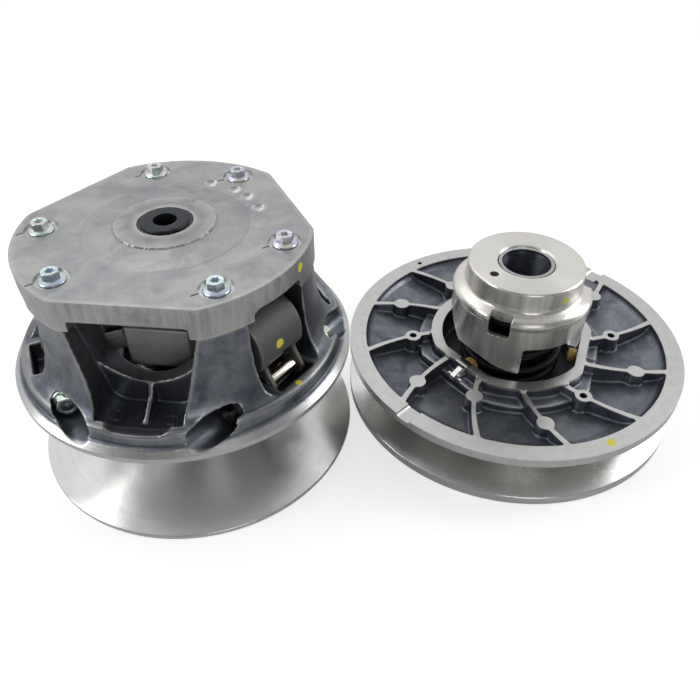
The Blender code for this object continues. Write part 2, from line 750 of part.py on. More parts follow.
def driven_moving_sheave():
    face_in = MOVING_RIM_LOW - (DRIVEN_R - DRIVEN_FACE_IN) * WALL_SLOPE
    loop = [(ANNULUS_R, ANNULUS_Z), (DRIVEN_R - 0.6, ANNULUS_Z), (DRIVEN_R, ANNULUS_Z - 0.6),
            (DRIVEN_R, MOVING_RIM_LOW + 0.3), (DRIVEN_R - 0.4, MOVING_RIM_LOW),
            (DRIVEN_FACE_IN, face_in), (55.5, face_in - 0.6), (52.6, WELL_FLOOR - 3.6),
            (23.2, WELL_FLOOR - 3.6), (23.2, 24.6), (20.0, 24.6), (20.0, 52.0), (23.6, 52.0),
            (24.0, 51.6), (24.0, 28.6), (25.6, 27.0), (57.0, 27.6), (92.5, 33.8), (94.6, 35.4)]
    body = lathe("sheave", loop, LARGE)
    wall = cut(plate("wall", [wall_outline(51.8, 47.0, 6)], 24.0, RING_WALL_TOP),
               [rod("core", 34.0, 20.0, 60.0, MEDIUM)])
    body = fuse(body, [wall] + driven_ribs())
    cutters = []
    well = plate("well", [wall_outline(46.4, 42.0, 6)], WELL_FLOOR, 60.0)
    tube = rod("tube", 25.0, WELL_FLOOR - 2.0, 70.0, MEDIUM)
    cutters.append(cut(well, [tube]))
    for az in (-131.0, 49.0):
        outline = [(-5.0, 43.0), (-5.0, 37.4), (-3.6, 36.4), (3.6, 36.4), (5.0, 37.4), (5.0, 43.0)]
        cutters.append(radial_block("notch", outline, 92.0, 110.0, az + DRIVEN_TURN))
    for k in range(3):
        az = CAM_ROLLER_AZ + 120.0 * k + DRIVEN_TURN
        pin = move(rod("pin", 2.8, 35.0, 60.0, TINY), across(az))
        cutters.append(shifted(pin, 0.0, 0.0, CAM_ROLLER_Z))
    for k in (0, 6, 10):
        a = math.radians(DRIVEN_TURN + RIB_TURN + 30.0 * k)
        hole = rod("hole", 2.2, 31.5, 45.0, TINY)
        cutters.append(shifted(hole, BOSS_NEAR * math.cos(a), BOSS_NEAR * math.sin(a), 0.0))
    for az in (127.3, 65.2):
        a = math.radians(DRIVEN_TURN + az)
        hole = rod("hole", 1.5, 35.0, 45.0, TINY)
        cutters.append(shifted(hole, 100.0 * math.cos(a), 100.0 * math.sin(a), 0.0))
    return rename(cut(body, cutters), "driven_moving_sheave", "cast_aluminium")


def driven_bushing():
    inner = TUBE_R + 3 * RUNNING
    loop = [(inner, 51.6), (19.7, 51.6), (19.7, 25.2), (inner, 25.2)]
    return rename(lathe("bushing", loop, MEDIUM), "driven_bushing", "bronze")


def unrolled(points, middle):
    return [(CUP_R * math.sin(math.radians(az - middle)), z) for az, z in points]


def helix_cup():
    loop = [(CUP_BORE, CUP_TOP - 1.0), (CUP_BORE + 1.0, CUP_TOP), (CUP_TOP_R - 0.8, CUP_TOP),
            (CUP_TOP_R, CUP_TOP - 0.8), (CUP_TOP_R, 84.0), (35.6, 82.2), (38.8, 81.2),
            (41.2, 80.0), (42.3, 78.2), (42.3, 76.6), (CUP_R, 75.0), (CUP_R, CUP_LOW),
            (CUP_IN_R, CUP_LOW), (CUP_IN_R, 76.0), (30.0, 79.6), (30.0, 92.4), (20.6, 92.4),
            (20.6, 80.0), (CUP_BORE, 80.0)]
    body = lathe("cup", loop, LARGE)
    cutters = []
    for k in range(3):
        turn = DRIVEN_TURN + 120.0 * k
        window = unrolled([(-91.0, 35.0), (-31.0, 35.0), (-31.0, 48.4), (-53.0, 61.1),
                           (-91.0, 61.1)], -61.0)
        cutters.append(radial_block("window", window, 22.0, 60.0, turn - 61.0))
        edge = unrolled([(-32.0, 35.0), (29.0, 35.0), (29.0, 41.4), (9.0, 45.0), (-6.0, 48.5),
                         (-20.0, 50.0), (-32.0, 48.9)], -1.0)
        cutters.append(radial_block("edge", edge, 22.0, 60.0, turn - 1.0))
        notch = unrolled([(-122.7, 67.5), (-105.0, 67.5), (-105.0, 85.0), (-122.7, 85.0)], -114.0)
        cutters.append(radial_block("notch", notch, 36.4, 60.0, turn - 114.0))
    a = math.radians(DRIVEN_TURN - 143.5)
    hole = rod("hole", 2.7, 85.0, 100.0, TINY)
    cutters.append(shifted(hole, TOP_HOLE_R * math.cos(a), TOP_HOLE_R * math.sin(a), 0.0))
    return rename(cut(body, cutters), "helix_cup", "machined_aluminium")


def snap_ring():
    loop = [(CUP_BORE - 0.2, 95.2), (CUP_BORE - 0.2, 94.0), (14.6, 94.0), (14.6, 95.2)]
    return rename(lathe("ring", loop, MEDIUM), "driven_snap_ring", "polished_steel")


def spring_washer():
    loop = [(24.6, 78.6), (36.0, 76.6), (36.0, 75.2), (24.6, 75.2)]
    return rename(lathe("washer", loop, MEDIUM), "driven_spring_washer", "grey_steel")


def driven_spring():
    made = coil("spring", 29.6, 4.6, WELL_FLOOR + 0.3, 74.8, 4.5, 12)
    return rename(made, "driven_spring", "spring_steel", 60.0)


def cam_roller(number, az):
    body = rod("roller", CAM_ROLLER_R, 36.4, 41.6)
    body = cut(body, [rod("bore", 2.58, 30.0, 50.0, TINY)])
    body = shifted(move(body, across(az)), 0.0, 0.0, CAM_ROLLER_Z)
    body = rename(body, f"cam_roller_{number}", "amber_plastic")
    return hinged(body, CAM_ROLLER_OUT, CAM_ROLLER_Z, az)


def cam_pin(number, az):
    body = shifted(move(rod("pin", 2.5, 35.6, 47.2, TINY), across(az)), 0.0, 0.0, CAM_ROLLER_Z)
    return rename(body, f"cam_roller_pin_{number}", "grey_steel")


def hub_clip():
    """Bent strap hooked over the wall around the driven hub."""
    low = RING_WALL_TOP - 9.0
    top = RING_WALL_TOP + 0.3
    outline = [(42.6, top), (47.5, top), (47.5, low), (53.0, low), (53.0, low + 1.1),
               (48.6, low + 1.1), (48.6, top + 1.1), (42.6, top + 1.1)]
    az = DRIVEN_TURN + CAM_ROLLER_AZ - 120.0
    body = tangent_block("clip", [outline], -3.5, 5.5, az)
    return rename(body, "hub_clip", "polished_steel")


def stand(items, axis):
    for item in items:
        item.parent = axis


def build_drive():
    made = [drive_fixed_sheave(), drive_post(), idler_bearing(), idler_washer(),
            drive_moving_sheave(), drive_bushing(), drive_cover(), cover_bushing(), spider(),
            spider_jam_nut(), drive_spring()]
    for number, (x, y) in enumerate(bolt_places(), 1):
        made.append(cover_bolt(number, x, y))
    for number, angle in enumerate(pockets(), 1):
        made += [flyweight(number, angle), weight_sleeve(number, angle),
                 weight_bolt(number, angle), weight_nut(number, angle),
                 spider_roller(number, angle), roller_pin(number, angle)]
    stand(made, axis_empty("drive_axis", DRIVE_X))


def build_driven():
    made = [driven_fixed_sheave(), driven_post(), driven_moving_sheave(), driven_bushing(),
            helix_cup(), snap_ring(), spring_washer(), driven_spring(), hub_clip()]
    for k in range(3):
        az = DRIVEN_TURN + CAM_ROLLER_AZ + 120.0 * k
        made += [cam_roller(k + 1, az), cam_pin(k + 1, az)]
    stand(made, axis_empty("driven_axis", DRIVEN_X))


clear_scene()
PARTS = new_collection("cvt_pulley_set")
CUTTERS = new_collection("cutters")
build_drive()
build_driven()
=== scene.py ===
"""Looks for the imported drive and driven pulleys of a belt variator.

Lengths are millimetres until a mesh is made. Round pieces are drawn about their own
pulley axis and then set over it. Every piece rides the body of the node it stands for.
"""

import json
import math

import bmesh
import bpy
import numpy as np
from mathutils import Matrix, Vector


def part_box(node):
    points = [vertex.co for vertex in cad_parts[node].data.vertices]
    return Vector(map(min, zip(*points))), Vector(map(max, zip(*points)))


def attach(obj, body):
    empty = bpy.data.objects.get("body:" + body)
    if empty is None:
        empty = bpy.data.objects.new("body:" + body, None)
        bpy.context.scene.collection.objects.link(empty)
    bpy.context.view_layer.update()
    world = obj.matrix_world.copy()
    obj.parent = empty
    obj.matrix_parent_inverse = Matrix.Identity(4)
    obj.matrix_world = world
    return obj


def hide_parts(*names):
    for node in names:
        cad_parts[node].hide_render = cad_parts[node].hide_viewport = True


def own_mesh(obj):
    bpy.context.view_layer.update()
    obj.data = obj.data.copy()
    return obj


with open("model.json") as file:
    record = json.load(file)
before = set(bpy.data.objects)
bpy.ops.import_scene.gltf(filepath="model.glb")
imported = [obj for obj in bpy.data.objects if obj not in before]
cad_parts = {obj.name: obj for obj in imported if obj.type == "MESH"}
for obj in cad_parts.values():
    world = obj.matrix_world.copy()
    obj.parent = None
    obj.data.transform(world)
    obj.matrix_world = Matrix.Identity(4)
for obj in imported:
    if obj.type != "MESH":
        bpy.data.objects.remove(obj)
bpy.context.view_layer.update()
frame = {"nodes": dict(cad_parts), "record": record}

MM = 0.001
VOXEL = 0.7
FINE_VOXEL = 0.5
ROUND = 192

NODE_BODY = {}
for body_name, members in frame["record"]["behaviour"]["bodies"].items():
    for member in members:
        NODE_BODY[member] = body_name


def middle(node):
    low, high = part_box(node)
    return (low + high) / 2


DRIVE_X = middle("drive_post").x / MM
DRIVEN_X = middle("driven_post").x / MM
DRIVE_TURN = 75.1
DRIVEN_TURN = -14.1
POCKETS = [DRIVE_TURN + 120.0 * k for k in range(3)]
WINDOWS = [DRIVE_TURN + 60.0 + 120.0 * k for k in range(3)]
WALL_SLOPE = math.tan(math.radians(13.5))

# Drive pulley.
DRIVE_R = 95.3
DRIVE_EDGE_Z, BELL_EDGE_Z = 2.9, 63.6
DRIVE_FACE_IN = 27.0
LEG_TOP = 122.0
PIVOT_U, PIVOT_Z = 71.3, 74.6
SEAT_T, TROUGH_R = 35.0, 7.4
ROLLER_U, ROLLER_Z, ROLLER_R = 50.0, 84.0, 7.0
DRIVE_TRAVEL = 26.0
SWING = math.radians(28.0)
BOLT_R, BOLT_HALF = 64.4, 22.5
LOBE_R, LOBE_HALF = 77.0, 33.5
CONE_R, CONE_FLAT_R = 43.0, 27.0
COVER_BORE_R = 14.4
COVER_TOP, CONE_TOP = 139.4, 142.6
SPOTFACE_Z, SPOTFACE_R = 138.2, 8.6
SKIRT_LOW = 127.5
DIMPLE_R, DIMPLE_BALL, DIMPLE_LIFT = 49.9, 6.0, 4.2
HEAD_FLATS, HEAD_TOP, NUT_FLATS = 8.0, 143.8, 10.0

# Driven pulley.
DRIVEN_R = 105.6
DRIVEN_FACE_IN = 57.6
DRIVEN_EDGE_Z, WHEEL_EDGE_Z = 6.0, 33.0
RIB_TURN, RIB_LEAN, RIB_LEAN_R = 4.6, 0.275, 64.0
PAD_R, OUTER_PAD_R = 64.5, 78.0
ANNULUS_Z, ANNULUS_R = 38.5, 95.4
RING_WALL_TOP = 39.8
WALL_OUT, WALL_OUT_FLAT = 52.4, 47.6
WALL_IN, WALL_IN_FLAT = 45.4, 42.0
WELL_FLOOR = 19.8
CUP_R, CUP_IN_R, CUP_LOW = 41.4, 38.4, 41.2
CUP_TOP, CUP_TOP_R = 96.0, 34.8
CAM_AZ = -17.0
RIM_NOTCHES = (-131.0, 49.0)
CAM_Z = 33.6


# Camera, in millimetres and degrees: where it stands, how far it looks down and turns.
CAMERA_AT, CAMERA_LENS = (-63.4, -322.5, 323.2), 35.2
CAMERA_DOWN, CAMERA_TURN = 40.82, -9.36


# ------------------------------------------------------------------ mesh helpers

def link(name, data):
    made = bpy.data.objects.new(name, data)
    bpy.context.scene.collection.objects.link(made)
    return made


def settle(item):
    """Replace an object by the mesh its modifiers or curve give."""
    bpy.context.view_layer.update()
    graph = bpy.context.evaluated_depsgraph_get()
    mesh = bpy.data.meshes.new_from_object(item.evaluated_get(graph))
    mesh.transform(item.matrix_world)
    name = item.name
    bpy.data.objects.remove(item, do_unlink=True)
    mesh.materials.clear()
    return link(name, mesh)


def tidy(mesh, distance=0.00001):
    work = bmesh.new()
    work.from_mesh(mesh)
    bmesh.ops.remove_doubles(work, verts=work.verts, dist=distance)
    bmesh.ops.dissolve_degenerate(work, edges=work.edges, dist=distance)
    bmesh.ops.recalc_face_normals(work, faces=work.faces)
    work.to_mesh(mesh)
    work.free()


def eased(loop, radius, count=4):
    """Closed outline with every corner rounded, by less where its sides are short."""
    made = []
    size = len(loop)
    for i, corner in enumerate(loop):
        here = Vector(corner)
        back = Vector(loop[i - 1]) - here
        ahead = Vector(loop[(i + 1) % size]) - here
        turn = back.angle(ahead)
        if math.pi - turn < 0.08:
            made.append(tuple(here))
            continue
        reach = min(radius / math.tan(turn / 2), 0.45 * back.length, 0.45 * ahead.length)
        start = here + back.normalized() * reach
        end = here + ahead.normalized() * reach
        for k in range(count + 1):
            s = k / count
            point = start * (1 - s) ** 2 + here * 2 * s * (1 - s) + end * s ** 2
            made.append(tuple(point))
    return made


def lathe(name, loop, steps=ROUND):
    """Closed ring turned from a loop of (radius, height) points."""
    count = len(loop)
    radii = np.array([r for r, z in loop]) * MM
    heights = np.array([z for r, z in loop]) * MM
    a = np.linspace(0.0, 2 * math.pi, steps, endpoint=False)[:, None]
    points = np.stack([radii * np.cos(a), radii * np.sin(a), heights + 0 * a], -1)
    faces = []
    for i in range(steps):
        j = (i + 1) % steps
        for k in range(count):
            n = (k + 1) % count
            faces.append((i * count + k, j * count + k, j * count + n, i * count + n))
    mesh = bpy.data.meshes.new(name)
    mesh.from_pydata(points.reshape(-1, 3).tolist(), [], faces)
    tidy(mesh)
    return link(name, mesh)


def plate(name, outlines, low, high):
    """Flat prism between two heights, from one outline and any holes in it."""
    curve = bpy.data.curves.new(name, "CURVE")
    curve.dimensions = "2D"
    curve.fill_mode = "BOTH"
    curve.extrude = (high - low) * MM / 2
    for outline in outlines:
        spline = curve.splines.new("POLY")
        spline.points.add(len(outline) - 1)
        for point, (x, y) in zip(spline.points, outline):
            point.co = (x * MM, y * MM, 0.0, 1.0)
        spline.use_cyclic_u = True
    item = link(name, curve)
    item.location.z = (low + high) * MM / 2
    item = settle(item)
    tidy(item.data)
    return item


def spun(name, loop, steps):
    """Solid turned from a line of (radius, height) points that starts and ends on the axis."""
    mesh = bpy.data.meshes.new(name)
    work = bmesh.new()
    ring = [work.verts.new((r * MM, 0.0, z * MM)) for r, z in loop]
    edges = [work.edges.new((ring[i], ring[i + 1])) for i in range(len(ring) - 1)]
    bmesh.ops.spin(work, geom=ring + edges, cent=(0, 0, 0), axis=(0, 0, 1), dvec=(0, 0, 0),
                   angle=2 * math.pi, steps=steps, use_merge=True, use_duplicate=False)
    work.to_mesh(mesh)
    work.free()
    tidy(mesh)
    return link(name, mesh)


def rod(name, radius, low, high, steps=64, ease=0.0):
    """Solid round bar with eased ends."""
    loop = [(0.0, high), (radius - ease, high), (radius, high - ease),
            (radius, low + ease), (radius - ease, low), (0.0, low)]
    if ease == 0.0:
        loop = [(0.0, high), (radius, high), (radius, low), (0.0, low)]
    return spun(name, loop, steps)


def arc(radius, start, end, count, centre=(0.0, 0.0)):
    points = []
    for i in range(count + 1):
        a = math.radians(start + (end - start) * i / count)
        points.append((centre[0] + radius * math.cos(a), centre[1] + radius * math.sin(a)))
    return points


def combine(item, others, kind):
    for other in others:
        step = item.modifiers.new(kind, "BOOLEAN")
        step.operation = kind
        step.solver = "MANIFOLD"
        step.object = other
        before = len(item.data.polygons)
        made = settle(item)
        if before and not len(made.data.polygons):
            raise RuntimeError(f"{made.name} was lost while joining {other.name}")
        item = made
    for other in others:
        bpy.data.objects.remove(other, do_unlink=True)
    return item


def cut(item, others):
    return combine(item, others, "DIFFERENCE")


def fuse(item, others):
    return combine(item, others, "UNION")


def across(angle):
    """Local x runs tangentially, y up and z outwards at the given azimuth."""
    a = math.radians(angle)
    return Matrix(((-math.sin(a), 0.0, math.cos(a), 0.0), (math.cos(a), 0.0, math.sin(a), 0.0),
                   (0.0, 1.0, 0.0, 0.0), (0.0, 0.0, 0.0, 1.0)))


def along(angle):
    """Local x runs outwards, y up and z against the tangent at the given azimuth."""
    a = math.radians(angle)
    return Matrix(((math.cos(a), 0.0, math.sin(a), 0.0), (math.sin(a), 0.0, -math.cos(a), 0.0),
                   (0.0, 1.0, 0.0, 0.0), (0.0, 0.0, 0.0, 1.0)))


def move(item, matrix):
    item.data.transform(matrix)
    item.data.update()
    return item


def shifted(item, x, y, z):
    return move(item, Matrix.Translation(Vector((x, y, z)) * MM))


def radial_block(name, outline, inner, outer, angle):
    return move(plate(name, [outline], inner, outer), across(angle))


def tangent_block(name, outlines, low, high, angle):
    return move(plate(name, outlines, -high, -low), along(angle))


def both_sides(name, outline, near, far, angle):
    return [tangent_block(name, [outline], near, far, angle),
            tangent_block(name, [outline], -far, -near, angle)]


def tangent_rod(name, radius, low, high, u, z, angle, steps=48, ease=0.0):
    made = shifted(rod(name, radius, -high, -low, steps, ease), u, z, 0.0)
    return move(made, along(angle))


def polar(radius, azimuth):
    a = math.radians(azimuth)
    return radius * math.cos(a), radius * math.sin(a)


def remesh(item, voxel, rounds):
    """One closed skin over the piece, with its corners softened like a casting's."""
    grid = item.modifiers.new("grid", "REMESH")
    grid.mode = "VOXEL"
    grid.voxel_size = voxel * MM
    soft = item.modifiers.new("soft", "SMOOTH")
    soft.iterations = rounds
    return settle(item)


def cast_skin(item, voxel, rounds, reach=14):
    """Remeshed casting that also knows where its surface stands proud."""
    item = remesh(item, voxel, rounds)
    relief(item.data, reach)
    return item


def points_of(mesh):
    co = np.empty(len(mesh.vertices) * 3)
    mesh.vertices.foreach_get("co", co)
    return co.reshape(-1, 3) / MM


def radii_of(co):
    return np.hypot(co[:, 0], co[:, 1])


def set_points(mesh, co):
    mesh.vertices.foreach_set("co", (co * MM).ravel())
    mesh.update()


def write_attribute(mesh, name, values):
    made = mesh.attributes.get(name) or mesh.attributes.new(name, "FLOAT", "POINT")
    made.data.foreach_set("value", values.astype(np.float32))


def relief(mesh, rounds=14):
    """Store how far each point stands proud of its smoothed surroundings, in mm."""
    co = points_of(mesh)
    count = len(co)
    edges = np.empty(len(mesh.edges) * 2, np.int64)
    mesh.edges.foreach_get("vertices", edges)
    a, b = edges.reshape(-1, 2).T
    degree = np.maximum(np.bincount(a, minlength=count) + np.bincount(b, minlength=count), 1)
    soft = co.copy()
    for _ in range(rounds):
        total = np.stack([np.bincount(a, soft[b, k], count) + np.bincount(b, soft[a, k], count)
                          for k in range(3)], 1)
        soft = total / degree[:, None]
    normal = np.empty(count * 3)
    mesh.vertices.foreach_get("normal", normal)
    write_attribute(mesh, "relief", ((co - soft) * normal.reshape(-1, 3)).sum(1))


def trim(mesh, shape, machined):
    """Trim a casting to its finished faces and mark the machined ones."""
    set_points(mesh, shape(points_of(mesh)))
    write_attribute(mesh, "machined", machined(points_of(mesh)))


def all_machined(item):
    """Mark a whole cutter, so that the face it leaves looks cut and not cast."""
    write_attribute(item.data, "machined", np.ones(len(item.data.vertices)))
    return item


def also_machined(mesh, test):
    """Mark more points of a casting as machined, beside those marked already."""
    marks = np.empty(len(mesh.vertices))
    mesh.attributes["machined"].data.foreach_get("value", marks)
    write_attribute(mesh, "machined", np.maximum(marks, test(points_of(mesh))))


def shaded(mesh, inside):
    """Mark the points of a cavity that gets painted shade."""
    write_attribute(mesh, "well_shade", inside(points_of(mesh)))


# -------------------------------------------------------------- material helpers

class Shade:
    """A node material under construction."""

    def __init__(self, name):
        self.material = bpy.data.materials.new(name)
        self.material.use_nodes = True
        self.nodes = self.material.node_tree.nodes
        self.links = self.material.node_tree.links
        self.shader = self.nodes["Principled BSDF"]

    def plug(self, socket, value):
        if isinstance(value, bpy.types.NodeSocket):
            self.links.new(value, socket)
        elif isinstance(value, (tuple, list)) and socket.type == "RGBA":
            socket.default_value = (*value[:3], 1.0)
        else:
            socket.default_value = value

    def node(self, kind, settings=(), **inputs):
        made = self.nodes.new(kind)
        for key, value in dict(settings).items():
            setattr(made, key, value)
        for key, value in inputs.items():
            self.plug(made.inputs[key], value)
        return made

    def math(self, operation, a, b=0.0):
        made = self.node("ShaderNodeMath", {"operation": operation})
        self.plug(made.inputs[0], a)
        self.plug(made.inputs[1], b)
        return made.outputs[0]

    def times(self, a, b):
        return self.math("MULTIPLY", a, b)

    def plus(self, a, b):
        return self.math("ADD", a, b)

    def minus(self, a, b):
        return self.math("SUBTRACT", a, b)

    def most(self, a, b):
        return self.math("MAXIMUM", a, b)

    def vector(self, operation, a, b=None):
        made = self.node("ShaderNodeVectorMath", {"operation": operation})
        self.plug(made.inputs[0], a)
        if b is not None:
            self.plug(made.inputs[1], b)
        return made.outputs["Value" if operation in ("LENGTH", "DISTANCE") else "Vector"]

    def scaled(self, a, scale):
        made = self.node("ShaderNodeVectorMath", {"operation": "SCALE"}, Scale=scale)
        self.plug(made.inputs[0], a)
        return made.outputs["Vector"]

    def mix(self, factor, a, b):
        made = self.node("ShaderNodeMix", {"data_type": "RGBA"})
        self.plug(made.inputs[0], factor)
        self.plug(made.inputs[6], a)
        self.plug(made.inputs[7], b)
        return made.outputs[2]

    def blend(self, factor, a, b):
        """Number between a and b."""
        made = self.node("ShaderNodeMix", {"data_type": "FLOAT"})
        self.plug(made.inputs[0], factor)
        self.plug(made.inputs[2], a)
        self.plug(made.inputs[3], b)
        return made.outputs[0]

    def veil(self, colour, toward, mask, amount):
        """Lay one colour over another where a mask says so."""
        return self.mix(self.times(mask, amount), colour, toward)

    def span(self, value, low, high, start=0.0, end=1.0):
        """Map low..high onto start..end, held at both ends."""
        made = self.node("ShaderNodeMapRange", {"clamp": True})
        for key, number in zip(range(5), (value, low, high, start, end)):
            self.plug(made.inputs[key], number)
        return made.outputs[0]

    def noise(self, at, scale, detail=4.0, rough=0.55, distortion=0.0):
        made = self.node("ShaderNodeTexNoise", Vector=at, Scale=scale, Detail=detail,
                         Roughness=rough, Distortion=distortion)
        return made.outputs["Fac"]

    def at(self, axis_x):
        """Millimetres from the foot of a pulley axis, moving with the piece."""
        where = self.node("ShaderNodeTexCoord").outputs["Object"]
        return self.scaled(self.vector("SUBTRACT", where, (axis_x * MM, 0.0, 0.0)), 1 / MM)

    def parts(self, at):
        made = self.node("ShaderNodeSeparateXYZ", Vector=at)
        return made.outputs[0], made.outputs[1], made.outputs[2]

    def radius(self, at):
        x, y, z = self.parts(at)
        return self.math("SQRT", self.plus(self.times(x, x),
                                           self.times(y, y)))

    def azimuth(self, at):
        x, y, z = self.parts(at)
        return self.math("ARCTAN2", y, x)

    def rings(self, at, stretch=1.0):
        """Coordinates that only change across turning grooves, and a little around them."""
        flat = self.node("ShaderNodeCombineXYZ")
        self.plug(flat.inputs[0], self.radius(at))
        self.plug(flat.inputs[1], self.times(self.azimuth(at), stretch))
        self.plug(flat.inputs[2], self.parts(at)[2])
        return flat.outputs[0]

    def turned(self, at):
        """Direction across the turning grooves, for stretched reflections."""
        x, y, z = self.parts(at)
        around = self.node("ShaderNodeCombineXYZ")
        self.plug(around.inputs[0], self.times(y, -1.0))
        self.plug(around.inputs[1], x)
        world = self.node("ShaderNodeVectorTransform",
                          {"vector_type": "VECTOR", "convert_from": "OBJECT",
                           "convert_to": "WORLD"}, Vector=around.outputs[0])
        normal = self.node("ShaderNodeNewGeometry").outputs["Normal"]
        return self.vector("NORMALIZE", self.vector("CROSS_PRODUCT", normal, world.outputs[0]))

    def upright(self):
        """1 on walls that stand along the pulley axis, 0 on flat faces."""
        normal = self.node("ShaderNodeNewGeometry").outputs["Normal"]
        tilt = self.math("ABSOLUTE", self.parts(normal)[2])
        return self.span(tilt, 0.45, 0.15)

    def streaks(self, at, fineness):
        """Noise that only changes around the axis, so it runs up and down a wall."""
        around = self.node("ShaderNodeCombineXYZ")
        x, y, z = self.parts(at)
        r = self.radius(at)
        self.plug(around.inputs[0], self.math("DIVIDE", x, r))
        self.plug(around.inputs[1], self.math("DIVIDE", y, r))
        self.plug(around.inputs[2], self.times(z, 0.002))
        return self.noise(around.outputs[0], fineness, 3.0, 0.6)

    def spot(self, at, centre, size, ragged=0.35):
        """1 inside a hand-made paint dab."""
        away = self.vector("DISTANCE", at, centre)
        edge = self.times(self.noise(at, 0.9, 2.0), size * ragged)
        return self.span(self.plus(away, edge), size * 1.12, size)

    def stroke(self, at, start, end, width):
        """1 along a pen line between two points."""
        a = Vector(start)
        d = Vector(end) - a
        rel = self.vector("SUBTRACT", at, tuple(a))
        dot = self.node("ShaderNodeVectorMath", {"operation": "DOT_PRODUCT"})
        self.plug(dot.inputs[0], rel)
        self.plug(dot.inputs[1], tuple(d / d.length_squared))
        share = self.span(dot.outputs["Value"], 0.0, 1.0)
        foot = self.scaled(tuple(d), share)
        away = self.vector("DISTANCE", rel, foot)
        rough = self.times(self.noise(at, 1.3, 2.0), width * 0.8)
        return self.span(self.plus(away, rough), width * 1.3, width * 0.9)

    def dabbed(self, at, colour, dabs):
        """Paint the dabs over a colour; gives that colour and the painted share."""
        paint = 0.0
        for centre, size in dabs:
            dab = self.spot(at, centre, size)
            colour = self.mix(dab, colour, PAINT)
            paint = self.most(dab, paint)
        return colour, paint

    def varied(self, value, noise, amount):
        return self.plus(value, self.times(self.minus(noise, 0.5), amount))

    def bump(self, height, distance, strength=1.0, normal=None):
        made = self.node("ShaderNodeBump", Height=height, Distance=distance * MM,
                         Strength=strength)
        if normal is not None:
            self.plug(made.inputs["Normal"], normal)
        return made.outputs[0]

    def attribute(self, name):
        return self.node("ShaderNodeAttribute", {"attribute_name": name}).outputs["Fac"]

    def finish(self, colour, rough, metal=1.0, normal=None, **more):
        self.plug(self.shader.inputs["Base Color"], colour)
        self.plug(self.shader.inputs["Roughness"], rough)
        self.plug(self.shader.inputs["Metallic"], metal)
        if normal is not None:
            self.plug(self.shader.inputs["Normal"], normal)
        for key, value in more.items():
            self.plug(self.shader.inputs[key.replace("_", " ")], value)
        return self.material


PAINT, PAINT_ROUGH = (0.62, 0.56, 0.03), 0.45
INK = (0.006, 0.006, 0.008)
# Near-black painted shade for the inside of the driven hub well.
WELL_SHADE = (0.02, 0.02, 0.022)
STAIN = (0.16, 0.15, 0.13)
HUB_STAIN, HUB_STAIN_R = (0.14, 0.14, 0.135), 19.0
EDGE_WEAR = 0.22


def dimmed(tone, share):
    return tuple(c * share for c in tone)


def cast_metal(name, axis_x, deep, plain, worn, tooled, rough, dabs=(), strokes=(), rubbed=0.5,
               sanded=0.0, fine=26.0, stained=0.0):
    """Die-cast aluminium: cloudy skin, painted shade in recesses, rubbed edges, turned faces."""
    s = Shade(name)
    at = s.at(axis_x)
    cloud = s.noise(at, 0.045, 5.0, 0.6, 0.4)
    patch = s.noise(at, 0.16, 4.0, 0.6)
    grain = s.noise(at, 1.1, 5.0, 0.65)
    proud = s.attribute("relief")
    machined = s.attribute("machined")
    skin = s.mix(s.span(cloud, 0.3, 0.7), deep, plain)
    skin = s.veil(skin, worn, s.span(patch, 0.5, 0.8), 0.26)
    # Painted shade: points that sit below their smoothed surroundings are darkened towards the
    # deep tone.
    shade = s.span(s.minus(proud, s.times(patch, 0.1)), -0.08, -0.5)
    skin = s.veil(skin, deep, shade, 0.5)
    rub = s.span(s.plus(proud, s.times(grain, 0.08)), EDGE_WEAR * 0.6, EDGE_WEAR * 1.6)
    skin = s.veil(skin, worn, rub, rubbed)
    if sanded:
        lines = s.times(s.span(s.streaks(at, fine), 0.35, 0.65), s.upright())
        skin = s.veil(skin, worn, lines, sanded)
    if stained:
        smear = s.noise(at, 0.035, 6.0, 0.65, 0.5)
        skin = s.veil(skin, STAIN, s.span(smear, 0.52, 0.7), stained)
        hub = s.math("ABSOLUTE", s.minus(s.radius(at), HUB_STAIN_R))
        hub = s.plus(hub, s.times(patch, 5.0))
        skin = s.mix(s.span(hub, 7.0, 1.0, 0.0, 0.5), skin, HUB_STAIN)
    speck = s.span(s.noise(at, 2.6, 3.0, 0.7), 0.66, 0.8)
    skin = s.veil(skin, deep, speck, 0.35)
    groove = s.noise(s.rings(at, 3.0), 2.2, 3.0, 0.7)
    face = s.mix(s.span(groove, 0.3, 0.7), dimmed(tooled, 0.86), tooled)
    face = s.veil(face, plain, s.span(patch, 0.45, 0.7), 0.18)
    # Painted shade: the marked inner side of the driven hub wall is darkened almost to black.
    skin = s.veil(skin, WELL_SHADE, s.attribute("well_shade"), 0.85)
    colour, paint = s.dabbed(at, s.mix(machined, skin, face), dabs)
    for start, end, width in strokes:
        mark = s.stroke(at, start, end, width)
        colour = s.mix(mark, colour, INK)
        paint = s.most(mark, paint)
    sheen = s.blend(s.span(cloud, 0.3, 0.7), rough + 0.07, rough - 0.05)
    sheen = s.varied(sheen, grain, 0.12)
    sheen = s.blend(machined, sheen, 0.3)
    sheen = s.blend(paint, sheen, PAINT_ROUGH)
    bumps = s.bump(grain, 0.16, 0.5)
    bumps = s.bump(s.times(groove, machined), 0.05, 0.6, bumps)
    metal = s.blend(paint, 0.93, 0.0)
    return s.finish(colour, sheen, metal, bumps,
                    Anisotropic=s.times(machined, 0.45), Tangent=s.turned(at))


